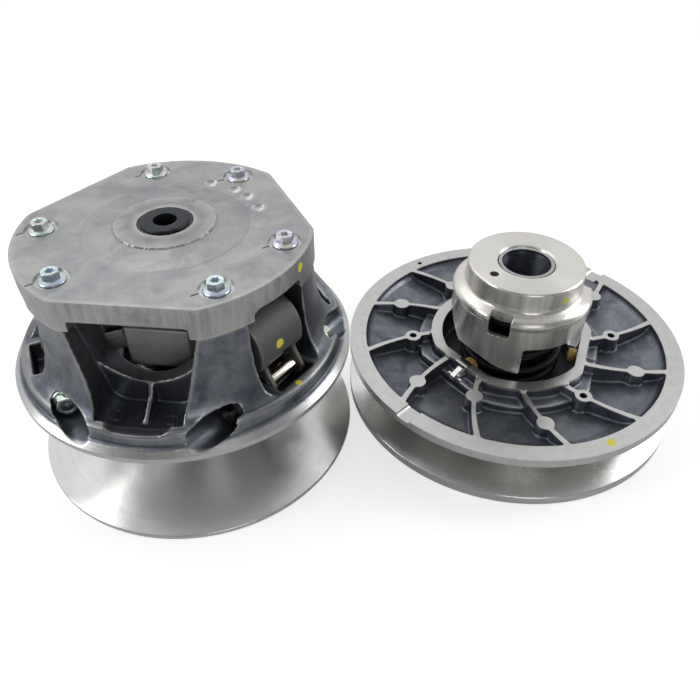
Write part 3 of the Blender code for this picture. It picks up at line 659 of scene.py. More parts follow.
def turned_metal(name, axis_x, tone, rough, stretch=0.75, band=0.06, dabs=(), depth=0.03,
                 streaked=0.0):
    """Lathe-finished metal: fine grooves, faint bands and stretched reflections."""
    s = Shade(name)
    at = s.at(axis_x)
    rings = s.rings(at, 1.2)
    groove = s.noise(rings, 5.5, 3.0, 0.7)
    bands = s.noise(rings, 0.35, 3.0, 0.6)
    haze = s.noise(at, 0.06, 4.0, 0.6)
    colour = s.mix(s.span(bands, 0.3, 0.7), dimmed(tone, 1 - band), tone)
    colour = s.veil(colour, dimmed(tone, 0.7), s.span(groove, 0.5, 0.75), 0.3)
    if streaked:
        lines = s.times(s.span(s.streaks(at, 5.5), 0.34, 0.66), s.upright())
        colour = s.veil(colour, dimmed(tone, 0.3), lines, streaked)
    colour, paint = s.dabbed(at, colour, dabs)
    sheen = s.blend(s.span(haze, 0.35, 0.65), rough - 0.03, rough + 0.05)
    sheen = s.varied(sheen, groove, 0.1)
    sheen = s.blend(paint, sheen, PAINT_ROUGH)
    return s.finish(colour, sheen, s.blend(paint, 1.0, 0.0), s.bump(groove, depth, 0.7),
                    Anisotropic=s.blend(paint, stretch, 0.0), Tangent=s.turned(at))


def plain_metal(name, axis_x, tone, other, rough, scale=0.5, depth=0.08, metal=1.0, edge=0.5,
                dabs=()):
    """Blackened, phosphated or drawn steel with a mottled skin and rubbed edges."""
    s = Shade(name)
    at = s.at(axis_x)
    mottle = s.noise(at, scale, 5.0, 0.62)
    fine = s.noise(at, scale * 9.0, 3.0, 0.6)
    proud = s.attribute("relief")
    rub = s.span(proud, 0.03, 0.16)
    colour = s.mix(s.span(mottle, 0.32, 0.7), tone, other)
    bright = tuple(min(1.0, c * 2.2 + 0.05) for c in other)
    colour = s.veil(colour, bright, rub, edge)
    colour, paint = s.dabbed(at, colour, dabs)
    metal = s.blend(paint, metal, 0.0) if dabs else metal
    sheen = s.varied(rough, mottle, 0.25)
    return s.finish(colour, sheen, metal, s.bump(fine, depth, 0.6))


def zinc_metal(name, tint):
    """Passivated zinc, whose film shifts between blue, green, straw and pink."""
    s = Shade(name)
    at = s.at(0.0)
    film = s.noise(at, 0.35, 3.0, 0.6)
    facing = s.node("ShaderNodeLayerWeight", Blend=0.4).outputs["Facing"]
    phase = s.plus(s.times(film, 1.5), s.times(facing, 0.9))
    ramp = s.node("ShaderNodeValToRGB", Fac=s.math("FRACT", s.plus(phase, tint)))
    stops = [(0.0, (0.52, 0.62, 0.66)), (0.25, (0.56, 0.70, 0.62)), (0.45, (0.68, 0.68, 0.60)),
             (0.65, (0.68, 0.56, 0.66)), (0.85, (0.50, 0.56, 0.72)), (1.0, (0.52, 0.62, 0.66))]
    ramp.color_ramp.elements[0].position = 0.0
    ramp.color_ramp.elements[0].color = (*stops[0][1], 1.0)
    ramp.color_ramp.elements[1].position = 1.0
    ramp.color_ramp.elements[1].color = (*stops[-1][1], 1.0)
    for position, tone in stops[1:-1]:
        ramp.color_ramp.elements.new(position).color = (*tone, 1.0)
    fine = s.noise(at, 4.0, 3.0, 0.6)
    sheen = s.plus(0.2, s.times(fine, 0.16))
    return s.finish(ramp.outputs["Color"], sheen, 1.0, s.bump(fine, 0.05, 0.5))


# ---------------------------------------------------------------- placing pieces

def ease_edges(item, width, angle):
    edge = item.modifiers.new("edge", "BEVEL")
    edge.width = width * MM
    edge.segments = 2
    edge.limit_method = "ANGLE"
    edge.angle_limit = math.radians(angle)


def place(item, node, finish, smooth=30.0, bevel=0.0):
    """Set a finished piece over its pulley axis, in place of a CAD node."""
    if bevel:
        ease_edges(item, bevel, 35.0)
        item = settle(item)
    shifted(item, DRIVE_X if middle(node).x < 0.0 else DRIVEN_X, 0.0, 0.0)
    item.name = node + "_visual"
    item.data.name = item.name
    item.data.materials.clear()
    item.data.materials.append(finish)
    item.data.shade_smooth()
    item.data.set_sharp_from_angle(angle=math.radians(smooth))
    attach(item, NODE_BODY[node])
    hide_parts(node)
    return item


# ---------------------------------------------------------------- drive pulley

def ribbed_sheave(loop, rib_top, rib_in, turn):
    """Turned lower sheave with six stiffening ribs under it."""
    ribs = []
    for k in range(6):
        outline = [(-1.6, 0.9), (1.6, 0.9), (2.4, rib_top), (-2.4, rib_top)]
        ribs.append(radial_block("rib", outline, rib_in, 62.0, turn + 60.0 * k))
    return fuse(lathe("sheave", eased(loop, 0.35, 2), 256), ribs)


def fixed_sheave_shape():
    top = DRIVE_EDGE_Z + (DRIVE_R - DRIVE_FACE_IN) * WALL_SLOPE
    loop = [(13.0, top + 0.5), (26.2, top + 0.5), (DRIVE_FACE_IN, top), (DRIVE_R, DRIVE_EDGE_Z),
            (95.5, 2.5), (95.5, 0.4), (95.1, 0.0), (88.0, 0.0), (85.0, 1.5), (60.0, 6.4),
            (36.0, 11.0), (33.0, 10.0), (32.0, 0.6), (13.0, 0.6)]
    return ribbed_sheave(loop, 8.0, 31.0, DRIVE_TURN)


def bell_profile():
    outer = [(50.5, LEG_TOP), (75.5, LEG_TOP), (75.6, 117.0), (76.0, 112.0), (76.3, 106.0),
             (76.8, 100.0), (77.4, 95.2), (78.4, 91.0), (79.5, 87.2), (81.0, 84.0), (82.7, 81.1),
             (84.8, 78.9), (86.6, 78.0), (88.4, 77.8), (89.6, 76.2), (90.2, 69.9), (92.6, 69.9),
             (96.2, 66.6), (96.2, 62.5)]
    inner = [(27.0, 62.5 - (96.2 - 27.0) * WALL_SLOPE), (26.2, 47.5), (26.2, 67.0), (15.9, 67.0),
             (15.9, 77.0), (22.0, 77.0), (30.5, 72.0), (31.5, 64.0), (38.0, 58.5), (48.0, 60.0),
             (50.5, 64.0)]
    return outer + inner


def flared(low, low_half, top_half, corner, count=8):
    """Flared window with rounded lower corners."""
    left = arc(corner, 180.0, 270.0, count, (-low_half + corner, low + corner))
    right = arc(corner, 270.0, 360.0, count, (low_half - corner, low + corner))
    return left + right + [(top_half, LEG_TOP + 4.0), (-top_half, LEG_TOP + 4.0)]


def saddle():
    """Opening through the wall behind a window, with a sagging lower edge."""
    low = []
    for i in range(25):
        t = -25.0 + 50.0 * i / 24
        low.append((t, 84.0 + 12.0 * (t / 25.0) ** 2))
    return low + [(31.5, LEG_TOP + 4.0), (-31.5, LEG_TOP + 4.0)]


def bolt_places():
    return [polar(BOLT_R, a + side) for a in POCKETS for side in (BOLT_HALF, -BOLT_HALF)]


def moving_sheave_shape():
    body = lathe("bell", bell_profile(), ROUND)
    cutters = []
    for angle in WINDOWS:
        cutters += [radial_block("shelf", flared(70.5, 22.5, 32.5, 10.0), 59.0, 82.5, angle),
                    radial_block("mouth", flared(76.0, 21.5, 32.0, 12.0), 82.0, 110.0, angle),
                    radial_block("saddle", saddle(), 40.0, 60.0, angle)]
    for angle in POCKETS:
        slot = [(-13.3, 66.0), (13.3, 66.0), (13.3, 80.0), (-13.3, 80.0)]
        cutters += [radial_block("pocket", flared(78.0, 20.0, 20.0, 4.0), 40.0, 110.0, angle),
                    radial_block("slot", slot, 45.0, 84.0, angle),
                    tangent_rod("trough", TROUGH_R, SEAT_T, 80.0, PIVOT_U, PIVOT_Z, angle),
                    tangent_rod("trough", TROUGH_R, -80.0, -SEAT_T, PIVOT_U, PIVOT_Z, angle)]
    body = cut(body, cutters)
    ribs = []
    for angle in WINDOWS:
        outline = [(57.0, 69.5), (77.5, 69.5), (74.0, 71.8), (63.5, 77.0), (60.0, 83.0),
                   (57.0, 83.0)]
        ribs.append(tangent_block("rib", [outline], -1.3, 1.3, angle))
    body = fuse(body, ribs)
    body = cast_skin(body, VOXEL, 5)
    trim(body.data, machine_bell, bell_machined)
    return body


def machine_bell(co):
    """Turned rim, belt face and leg tops."""
    r = radii_of(co)
    over = r > DRIVE_R
    co[over, :2] *= (DRIVE_R / r[over])[:, None]
    r = np.minimum(r, DRIVE_R)
    face = BELL_EDGE_Z - (DRIVE_R - r) * WALL_SLOPE
    low = (co[:, 2] < face) & (r > 26.9)
    co[low, 2] = face[low]
    bevel = 69.5 - (r - 92.2) * (2.9 / 3.1)
    edge = (r > 92.2) & (co[:, 2] > bevel)
    co[edge, 2] = bevel[edge]
    for angle in WINDOWS:
        for u, t in ((72.0, -15.5), (72.5, 12.0)):
            x, y = polar(math.hypot(u, t), angle + math.degrees(math.atan2(t, u)))
            away = np.hypot(co[:, 0] - x, co[:, 1] - y)
            ring = (away > 2.7) & (away < 3.6) & (co[:, 2] > 69.0) & (co[:, 2] < 73.0)
            co[ring, 2] -= 0.35
    top = co[:, 2] > LEG_TOP - 0.35
    co[top, 2] = LEG_TOP - 0.35
    return co


def bell_machined(co):
    r = radii_of(co)
    face = BELL_EDGE_Z - (DRIVE_R - r) * WALL_SLOPE
    rim = np.clip((r - 91.9) / 0.9, 0.0, 1.0)
    belt = (co[:, 2] < face + 0.2) & (r > 27.0)
    return np.maximum(rim, belt | (co[:, 2] > LEG_TOP - 0.6))


def cover_outline(inset, count=24):
    points = []
    for angle in POCKETS:
        points += arc(LOBE_R - inset, angle - LOBE_HALF, angle + LOBE_HALF, count)
    return points


def cover_shape():
    body = plate("cover", [eased(cover_outline(0.0), 9.0, 8)], LEG_TOP - 0.8, COVER_TOP + 1.0)
    hollow = plate("hollow", [cover_outline(7.0)], LEG_TOP - 4.0, 133.0)
    body = cut(body, [hollow])
    cutters = []
    for angle in POCKETS:
        span = BOLT_R * math.sin(math.radians(BOLT_HALF)) - 7.4
        mouth = [(-span, 100.0), (span, 100.0), (span, SKIRT_LOW), (-span, SKIRT_LOW)]
        cutters.append(radial_block("mouth", eased(mouth, 4.0, 6), 30.0, 90.0, angle))
    for angle in WINDOWS:
        mouth = [(-28.6, 100.0), (28.6, 100.0), (28.6, SKIRT_LOW), (-28.6, SKIRT_LOW)]
        cutters.append(radial_block("mouth", eased(mouth, 1.2, 4), 30.0, 90.0, angle))
    body = cut(body, cutters)
    bosses = [shifted(rod("boss", 9.3, LEG_TOP - 0.8, 136.0), x, y, 0.0) for x, y in bolt_places()]
    hub = [(12.0, 130.5), (21.0, 130.5), (22.5, 134.0), (22.5, 136.0), (12.0, 136.0)]
    cone = [(12.0, COVER_TOP - 3.0), (CONE_R + 0.1, COVER_TOP - 3.0),
            (CONE_R + 0.1, COVER_TOP + 0.35), (CONE_FLAT_R, CONE_TOP - 0.5),
            (CONE_FLAT_R - 1.0, CONE_TOP + 0.5), (12.0, CONE_TOP + 0.5)]
    body = fuse(body, bosses + [lathe("hub", hub), lathe("cone", cone)])
    body = cut(body, [rod("bore", COVER_BORE_R, 110.0, 150.0, 96)])
    body = cast_skin(body, VOXEL, 4)
    trim(body.data, machine_cover, lambda co: co[:, 2] < LEG_TOP + 0.5)
    cutters = []
    for x, y in bolt_places():
        spot = shifted(rod("spot", SPOTFACE_R, SPOTFACE_Z, 150.0, 64), x, y, 0.0)
        cutters.append(all_machined(spot))
        cutters.append(shifted(rod("hole", 3.3, 100.0, 145.0, 32), x, y, 0.0))
    for offset in (-13.5, -32.2, -45.2, -62.0):
        x, y = polar(DIMPLE_R, DRIVE_TURN + offset)
        dimple = bpy.data.meshes.new("dimple")
        work = bmesh.new()
        bmesh.ops.create_uvsphere(work, u_segments=48, v_segments=24, radius=DIMPLE_BALL * MM)
        work.to_mesh(dimple)
        work.free()
        ball = shifted(link("dimple", dimple), x, y, COVER_TOP + DIMPLE_LIFT)
        cutters.append(all_machined(ball))
    return cut(body, cutters)


def machine_cover(co):
    """Flat boss feet; the cone's raised ring keeps a low shoulder."""
    r = radii_of(co)
    low = co[:, 2] < LEG_TOP + 0.3
    co[low, 2] = LEG_TOP + 0.3
    rise = (CONE_TOP - 0.65 - COVER_TOP) / (CONE_R - CONE_FLAT_R)
    cone = COVER_TOP + 0.25 + (CONE_R - r) * rise
    limit = np.where(r > CONE_R, COVER_TOP, np.where(r > CONE_FLAT_R, cone, CONE_TOP))
    limit = np.where((r > CONE_FLAT_R - 0.8) & (r <= CONE_FLAT_R), CONE_TOP - 0.7, limit)
    top = (co[:, 2] > limit) & (co[:, 2] > 137.0)
    co[top, 2] = limit[top]
    return co


def star_outline(size, count=72):
    """Six-lobed recess."""
    points = []
    for i in range(count):
        a = 2 * math.pi * i / count
        r = size * (0.86 + 0.14 * math.cos(6 * a))
        points.append((r * math.cos(a), r * math.sin(a)))
    return points


def hex_head(flats, low, high, turn=0.0, chamfer=0.9):
    head = plate("head", [arc(flats / math.sqrt(3.0), turn, turn + 300.0, 5)], low, high)
    tip = flats / 2
    crown = [(0.0, high + 0.01), (tip - 0.1, high + 0.01),
             (tip - 0.1 + chamfer * 1.7, high - chamfer), (tip + 4.0, high - chamfer - 1.2),
             (tip + 4.0, low - 1.0), (0.0, low - 1.0)]
    return combine(head, [spun("crown", crown, 72)], "INTERSECT")


def cover_bolt_shape(number, x, y):
    z = SPOTFACE_Z
    loop = [(1.0, z + 1.9), (4.5, z + 1.9), (6.2, z + 1.1), (6.6, z + 0.7), (6.6, z + 0.1),
            (1.0, z + 0.1)]
    flange = lathe("flange", eased(loop, 0.3, 3), 72)
    head = hex_head(HEAD_FLATS, z + 0.9, HEAD_TOP, 15.0 * number)
    head = cut(head, [plate("star", [star_outline(2.35)], 141.4, 145.0)])
    shank = rod("shank", 3.0, 110.0, z + 1.2, 32, 0.4)
    body = fuse(fuse(head, [flange]), [shank])
    return shifted(body, x, y, 0.0)


def cam_path(lift):
    u = ROLLER_U - PIVOT_U
    z = ROLLER_Z + DRIVE_TRAVEL * lift - PIVOT_Z
    a = SWING * lift
    return (PIVOT_U + u * math.cos(a) - z * math.sin(a),
            PIVOT_Z + u * math.sin(a) + z * math.cos(a))


def softened(points, rounds=3):
    """Open outline with its corners cut again and again until it runs smoothly."""
    for _ in range(rounds):
        made = [points[0]]
        for (x0, y0), (x1, y1) in zip(points, points[1:]):
            made.append((0.75 * x0 + 0.25 * x1, 0.75 * y0 + 0.25 * y1))
            made.append((0.25 * x0 + 0.75 * x1, 0.25 * y0 + 0.75 * y1))
        points = made + [points[-1]]
    return points


def weight_outline():
    back = [(62.0, 85.2), (71.2, 85.4), (74.4, 89.0), (75.2, 94.5), (75.0, 100.5), (72.4, 106.8),
            (67.9, 111.4), (61.7, 114.4), (54.5, 115.6), (47.3, 114.2), (41.5, 111.2),
            (38.2, 107.4)]
    face = []
    for i in range(13):
        lift = i / 12
        before, after, here = cam_path(lift - 0.02), cam_path(lift + 0.02), cam_path(lift)
        step = (after[0] - before[0], after[1] - before[1])
        reach = (ROLLER_R + 0.4) / math.hypot(*step)
        face.append((here[0] + step[1] * reach, here[1] - step[0] * reach))
    return softened(back) + list(reversed(face))


def flyweight_shape(angle):
    body = tangent_block("weight", [weight_outline()], -16.0, 16.0, angle)
    end = arc(7.2, 170.0, 370.0, 24, (PIVOT_U, PIVOT_Z))
    ear = end + [(73.6, 84.0), (71.0, 92.0), (61.0, 92.0), (62.5, 84.0)]
    body = fuse(body, both_sides("ear", ear, 9.9, 12.5, angle))
    notch = [(64.0, 83.0), (80.0, 83.0), (80.0, 91.5), (66.0, 90.0)]
    body = cut(body, [tangent_rod("bore", 4.75, -30.0, 30.0, PIVOT_U, PIVOT_Z, angle),
                      tangent_block("notch", [notch], 1.0, 8.0, angle)])
    return cast_skin(body, FINE_VOXEL, 3, 10)


def spider_shape():
    points = []
    for angle in WINDOWS:
        x, y = polar(41.0, angle)
        a = math.radians(angle)
        for t in (-16.5, 16.5):
            points.append((x - t * math.sin(a), y + t * math.cos(a)))
    body = plate("spider", [points], 78.5, 103.0)
    tip = arc(5.2, -90.0, 70.0, 12, (ROLLER_U, ROLLER_Z))
    arm = [(28.0, 78.8)] + tip + [(36.0, 88.0), (28.0, 88.0)]
    arms = []
    for angle in POCKETS:
        arms += both_sides("arm", arm, 7.6, 11.8, angle)
    body = fuse(body, arms)
    cutters = [rod("recess", 30.0, 88.0, 110.0, 96), rod("bore", 13.0, 70.0, 95.0, 96)]
    for angle in POCKETS:
        cutters.append(tangent_rod("pin", 3.15, -20.0, 20.0, ROLLER_U, ROLLER_Z, angle, 32))
    body = cut(body, cutters)
    return cast_skin(body, FINE_VOXEL, 1, 10)


def bored_rod(radius, bore, half, u, z, angle):
    loop = [(bore, half), (radius, half), (radius, -half), (bore, -half)]
    made = lathe("ring", eased(loop, 0.4, 3), 64)
    return move(shifted(made, u, z, 0.0), along(angle))


def weight_bolt_shape(angle):
    head = hex_head(HEAD_FLATS, -1.0, 5.5, 0.0, 0.8)
    loop = [(1.0, 1.6), (4.6, 1.6), (6.0, 1.0), (6.4, 0.6), (6.4, 0.1), (1.0, 0.1)]
    flange = lathe("flange", eased(loop, 0.25, 3), 64)
    shank = rod("shank", 2.95, -60.2, 0.8, 32, 0.4)
    body = fuse(fuse(head, [flange]), [shank])
    return move(shifted(body, PIVOT_U, PIVOT_Z, SEAT_T), along(angle))


def weight_nut_shape(angle):
    nut = move(hex_head(NUT_FLATS, 0.4, 6.2, 10.0, 0.8), Matrix.Rotation(math.pi, 4, "X"))
    loop = [(2.0, -1.8), (5.6, -1.8), (6.4, -1.2), (6.7, -0.7), (6.7, -0.1), (2.0, -0.1)]
    flange = lathe("flange", eased(loop, 0.25, 3), 64)
    body = cut(fuse(nut, [flange]), [rod("bore", 3.25, -12.0, 2.0, 32)])
    return move(shifted(body, PIVOT_U, PIVOT_Z, -SEAT_T), along(angle))


def coil(name, radius, wire, low, high, turns, lead=0.6, steps=40):
    """Round wire with closed, flattened end turns."""
    curve = bpy.data.curves.new(name, "CURVE")
    curve.dimensions = "3D"
    curve.bevel_depth = wire * MM / 2
    curve.bevel_resolution = 5
    curve.use_fill_caps = True
    spline = curve.splines.new("POLY")
    count = int(turns * steps)
    spline.points.add(count)
    rise = high - low - wire
    for i, point in enumerate(spline.points):
        share = i / count
        ease = share - lead * math.sin(2 * math.pi * share) / (2 * math.pi)
        x, y = polar(radius, 360.0 * i / steps)
        point.co = (x * MM, y * MM, (low + wire / 2 + rise * ease) * MM, 1.0)
    return settle(link(name, curve))


def build_drive(m):
    place(fixed_sheave_shape(), "drive_fixed_sheave", m["drive_face"], 30.0)
    post = [(6.15, 143.5), (11.9, 143.5), (12.7, 142.7), (12.7, 1.6), (11.7, 0.6), (6.15, 0.6)]
    place(lathe("post", eased(post, 0.3, 3), 96), "drive_post", m["post"])
    place(moving_sheave_shape(), "drive_moving_sheave", m["bell"], 40.0)
    place(cover_shape(), "drive_cover", m["cover"], 35.0)
    for number, (x, y) in enumerate(bolt_places(), 1):
        node = f"cover_bolt_{number}"
        place(cover_bolt_shape(number, x, y), node, m["zinc"][number % 3], 30.0, 0.1)
    place(spider_shape(), "spider", m["spider"], 40.0)
    for number, angle in enumerate(POCKETS, 1):
        place(flyweight_shape(angle), f"flyweight_{number}", m["weight"], 40.0)
        place(bored_rod(4.5, 3.3, 12.8, PIVOT_U, PIVOT_Z, angle), f"weight_sleeve_{number}",
              m["sleeve"])
        place(bored_rod(ROLLER_R, 3.1, 7.2, ROLLER_U, ROLLER_Z, angle), f"spider_roller_{number}",
              m["sleeve"])
        pin = tangent_rod("pin", 3.0, -11.6, 11.6, ROLLER_U, ROLLER_Z, angle, 48, 0.5)
        place(pin, f"roller_pin_{number}", m["pin"])
        place(weight_bolt_shape(angle), f"weight_bolt_{number}", m["black"], 30.0, 0.12)
        place(weight_nut_shape(angle), f"weight_nut_{number}", m["zinc"][1], 30.0, 0.12)
    spring = coil("spring", 25.6, 4.2, 88.5, 132.5, 4.5)
    spring = place(spring, "drive_spring", m["spring"], 60.0)
    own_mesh(spring)


# --------------------------------------------------------------- driven pulley

def driven_fixed_shape():
    top = DRIVEN_EDGE_Z + (DRIVEN_R - DRIVEN_FACE_IN) * WALL_SLOPE
    loop = [(16.8, 24.0), (22.4, 24.0), (22.4, 14.5), (52.0, 14.5), (54.0, top - 0.4),
            (DRIVEN_FACE_IN, top), (DRIVEN_R - 0.3, DRIVEN_EDGE_Z), (DRIVEN_R, 5.6),
            (DRIVEN_R, 0.5), (DRIVEN_R - 0.5, 0.0), (99.0, 0.0), (97.0, 2.0), (60.0, 10.4),
            (34.0, 8.6), (29.0, 6.0), (28.0, 0.6), (16.8, 0.6)]
    return ribbed_sheave(loop, 9.0, 27.0, 15.0)


def wall_outline(arc_radius, flat, count=20):
    """Circle cut by three flats, one over each cam roller."""
    half = math.degrees(math.acos(flat / arc_radius))
    points = []
    for k in range(3):
        centre = DRIVEN_TURN + CAM_AZ + 60.0 + 120.0 * k
        points += arc(arc_radius, centre - 60.0 + half, centre + 60.0 - half, count)
    return points


def wall_radius(x, y, arc_radius, flat):
    """Distance out to the wall outline in the direction of each point."""
    a = np.arctan2(y, x)
    limit = np.full(len(x), arc_radius)
    for k in range(3):
        facing = np.cos(a - math.radians(DRIVEN_TURN + CAM_AZ + 120.0 * k))
        limit = np.where(facing > 0.3, np.minimum(limit, flat / np.maximum(facing, 0.3)), limit)
    return limit


def driven_ribs():
    """Leaning ribs with a round pad each, trimmed to end inside the sheave wall."""
    ribs = []
    for k in range(12):
        base = DRIVEN_TURN + RIB_TURN + 30.0 * k
        boss = PAD_R if k % 2 == 0 else OUTER_PAD_R
        left, right = [], []
        for i in range(13):
            r = 45.0 + (ANNULUS_R + 1.5 - 45.0) * i / 12
            a = math.radians(base + RIB_LEAN * (r - RIB_LEAN_R))
            side = (1.55 + 0.25 * math.cos(math.pi * i / 6)) / r
            left.append((r * math.cos(a + side), r * math.sin(a + side)))
            right.append((r * math.cos(a - side), r * math.sin(a - side)))
        ribs.append(plate("rib", [right + list(reversed(left))], 22.0, ANNULUS_Z + 1.2))
        x, y = polar(boss, base + RIB_LEAN * (boss - RIB_LEAN_R))
        ribs.append(shifted(rod("pad", 5.1, 22.0, ANNULUS_Z + 1.2, 48), x, y, 0.0))
    whole = fuse(ribs[0], ribs[1:])
    rim = 35.0
    under = [(29.0, 5.0), (112.0, 5.0), (112.0, rim + (112.0 - DRIVEN_R) * WALL_SLOPE),
             (29.0, rim - (DRIVEN_R - 29.0) * WALL_SLOPE)]
    return cut(whole, [lathe("under", under)])


def driven_moving_shape():
    face_in = WHEEL_EDGE_Z - (DRIVEN_R - DRIVEN_FACE_IN) * WALL_SLOPE
    loop = [(ANNULUS_R, ANNULUS_Z + 1.2), (DRIVEN_R + 1.0, ANNULUS_Z + 1.2),
            (DRIVEN_R + 1.0, 32.0), (DRIVEN_FACE_IN, face_in - 1.3), (55.5, face_in - 1.3),
            (52.6, WELL_FLOOR - 3.6), (23.2, WELL_FLOOR - 3.6), (23.2, 24.6), (20.0, 24.6),
            (20.0, 52.0), (23.6, 52.0), (24.0, 51.6), (24.0, 28.6), (25.6, 27.0), (52.0, 27.2),
            (56.5, 27.0), (59.5, 27.4), (88.0, 32.0), (92.5, 33.6), (94.6, 35.8)]
    body = lathe("sheave", loop)
    wall = cut(plate("wall", [wall_outline(WALL_OUT, WALL_OUT_FLAT)], 24.0, RING_WALL_TOP + 1.0),
               [rod("core", 34.0, 20.0, 60.0, 96)])
    foot = cut(plate("foot", [wall_outline(WALL_OUT + 8.0, WALL_OUT_FLAT + 6.5)], 24.0, 32.6),
               [rod("core", 34.0, 20.0, 60.0, 96)])
    body = fuse(body, [wall, foot, driven_ribs()])
    well = plate("well", [wall_outline(WALL_IN, WALL_IN_FLAT)], WELL_FLOOR, 60.0)
    cutters = [cut(well, [rod("tube", 25.0, WELL_FLOOR - 2.0, 70.0, 96)])]
    for k in range(3):
        pin = move(rod("pin", 2.7, 35.0, 60.0, 32), across(CAM_AZ + 120.0 * k + DRIVEN_TURN))
        cutters.append(shifted(pin, 0.0, 0.0, CAM_Z))
    body = cut(body, cutters)
    body = cast_skin(body, VOXEL, 5)
    trim(body.data, machine_driven, driven_machined)
    # Mark the inner side of the hub wall for painted shade.
    shaded(body.data, driven_well)
    cutters = []
    for az in RIM_NOTCHES:
        outline = [(-5.0, 43.0), (-5.0, 37.4), (-3.6, 36.4), (3.6, 36.4), (5.0, 37.4), (5.0, 43.0)]
        cutters.append(radial_block("notch", eased(outline, 0.6), 92.0, 110.0, az + DRIVEN_TURN))
    for k in (0, 6, 10):
        x, y = polar(PAD_R, DRIVEN_TURN + RIB_TURN + 30.0 * k)
        cutters.append(shifted(rod("hole", 2.2, 31.5, 45.0, 32), x, y, 0.0))
    for az in (127.3, 65.2):
        x, y = polar(100.0, DRIVEN_TURN + az)
        cutters.append(shifted(rod("hole", 1.5, 35.0, 45.0, 32), x, y, 0.0))
    body = cut(body, cutters)
    also_machined(body.data, in_rim_notch)
    return body


def in_rim_notch(co):
    """Points on the floor and sides of the two milled notches in the rim."""
    found = np.zeros(len(co), bool)
    for az in RIM_NOTCHES:
        a = math.radians(az + DRIVEN_TURN)
        outward = co[:, 0] * math.cos(a) + co[:, 1] * math.sin(a)
        aside = np.abs(co[:, 0] * math.sin(a) - co[:, 1] * math.cos(a))
        found |= (outward > 92.0) & (aside < 5.1) & (co[:, 2] > 36.2)
    return found


def driven_well(co):
    """Points on the inner side of the hub wall, below its top, that get painted shade."""
    wall = wall_radius(co[:, 0], co[:, 1], WALL_IN + 0.4, WALL_IN_FLAT + 0.4)
    return (radii_of(co) < wall) & (co[:, 2] < RING_WALL_TOP - 0.9)


def machine_driven(co):
    """Faced annulus, rib tops and hub wall; turned rim and belt face."""
    r = radii_of(co)
    outside = r > wall_radius(co[:, 0], co[:, 1], WALL_OUT, WALL_OUT_FLAT) + 1.0
    tall = outside & (co[:, 2] > ANNULUS_Z)
    co[tall, 2] = ANNULUS_Z
    top = co[:, 2] > RING_WALL_TOP
    hub = r < 30.0
    co[top & ~hub, 2] = RING_WALL_TOP
    over = r > DRIVEN_R
    co[over, :2] *= (DRIVEN_R / r[over])[:, None]
    r = np.minimum(r, DRIVEN_R)
    face = WHEEL_EDGE_Z - (DRIVEN_R - r) * WALL_SLOPE
    low = (co[:, 2] < face) & (r > DRIVEN_FACE_IN - 0.5)
    co[low, 2] = face[low]
    for radius, azimuth, size in ((78.5, -27.9, 4.0), (66.0, -33.9, 1.8)):
        x, y = polar(radius, azimuth)
        away = np.hypot(co[:, 0] - x, co[:, 1] - y)
        ring = (np.abs(away - size) < 0.5) & (co[:, 2] < 35.0) & (co[:, 2] > 25.0)
        co[ring, 2] += 0.3
    return co


def driven_machined(co):
    r = radii_of(co)
    face = WHEEL_EDGE_Z - (DRIVEN_R - r) * WALL_SLOPE
    faced = np.clip((co[:, 2] - ANNULUS_Z + 0.6) / 0.5, 0.0, 1.0)
    return np.maximum(faced, (r > DRIVEN_R - 0.2) | (co[:, 2] < face + 0.2))


def unrolled(points, centre):
    return [(CUP_R * math.sin(math.radians(az - centre)), z) for az, z in points]


def cup_shape():
    loop = [(16.8, 94.8), (17.9, CUP_TOP), (CUP_TOP_R - 0.9, CUP_TOP), (CUP_TOP_R, 95.1),
            (CUP_TOP_R, 84.6), (35.2, 83.0), (36.4, 82.1), (38.8, 81.3), (40.6, 80.4),
            (41.8, 79.2), (42.3, 77.8), (42.3, 76.6), (41.9, 75.6), (CUP_R, 74.6),
            (CUP_R, CUP_LOW), (CUP_IN_R, CUP_LOW), (CUP_IN_R, 76.0), (30.0, 79.6), (30.0, 92.4),
            (20.6, 92.4), (20.6, 80.0), (16.8, 80.0)]
    body = lathe("cup", loop, 256)
    cutters = []
    for k in range(3):
        turn = DRIVEN_TURN + 120.0 * k
        window = unrolled([(-91.0, 35.0), (-31.0, 35.0), (-31.0, 48.4), (-53.0, 61.1),
                           (-91.0, 61.1)], -61.0)
        cutters.append(radial_block("window", eased(window, 2.0), 22.0, 60.0, turn - 61.0))
        edge = unrolled([(-32.0, 35.0), (29.0, 35.0), (29.0, 41.4), (9.0, 45.0), (-6.0, 48.5),
                         (-20.0, 50.0), (-32.0, 48.9)], -1.0)
        cutters.append(radial_block("edge", edge, 22.0, 60.0, turn - 1.0))
        notch = unrolled([(-122.7, 67.5), (-105.0, 67.5), (-105.0, 85.0), (-122.7, 85.0)], -114.0)
        cutters.append(radial_block("notch", eased(notch, 1.2), 36.4, 60.0, turn - 114.0))
    body = cut(body, cutters)
    body = cast_skin(body, FINE_VOXEL, 2, 8)
    set_points(body.data, true_cup(points_of(body.data)))
    x, y = polar(25.4, DRIVEN_TURN - 143.5)
    return cut(body, [shifted(rod("hole", 2.7, 85.0, 100.0, 48), x, y, 0.0)])


def true_cup(co):
    """Bring the turned walls and the top face back to their exact size."""
    r = radii_of(co)
    for wall, low, high in ((CUP_R, 43.0, 73.8), (CUP_TOP_R, 85.4, 94.4)):
        near = (np.abs(r - wall) < 0.3) & (co[:, 2] > low) & (co[:, 2] < high)
        co[near, :2] *= (wall / r[near])[:, None]
    top = (co[:, 2] > CUP_TOP - 0.3) & (r > 18.8) & (r < CUP_TOP_R - 1.2)
    co[top, 2] = CUP_TOP
    return co


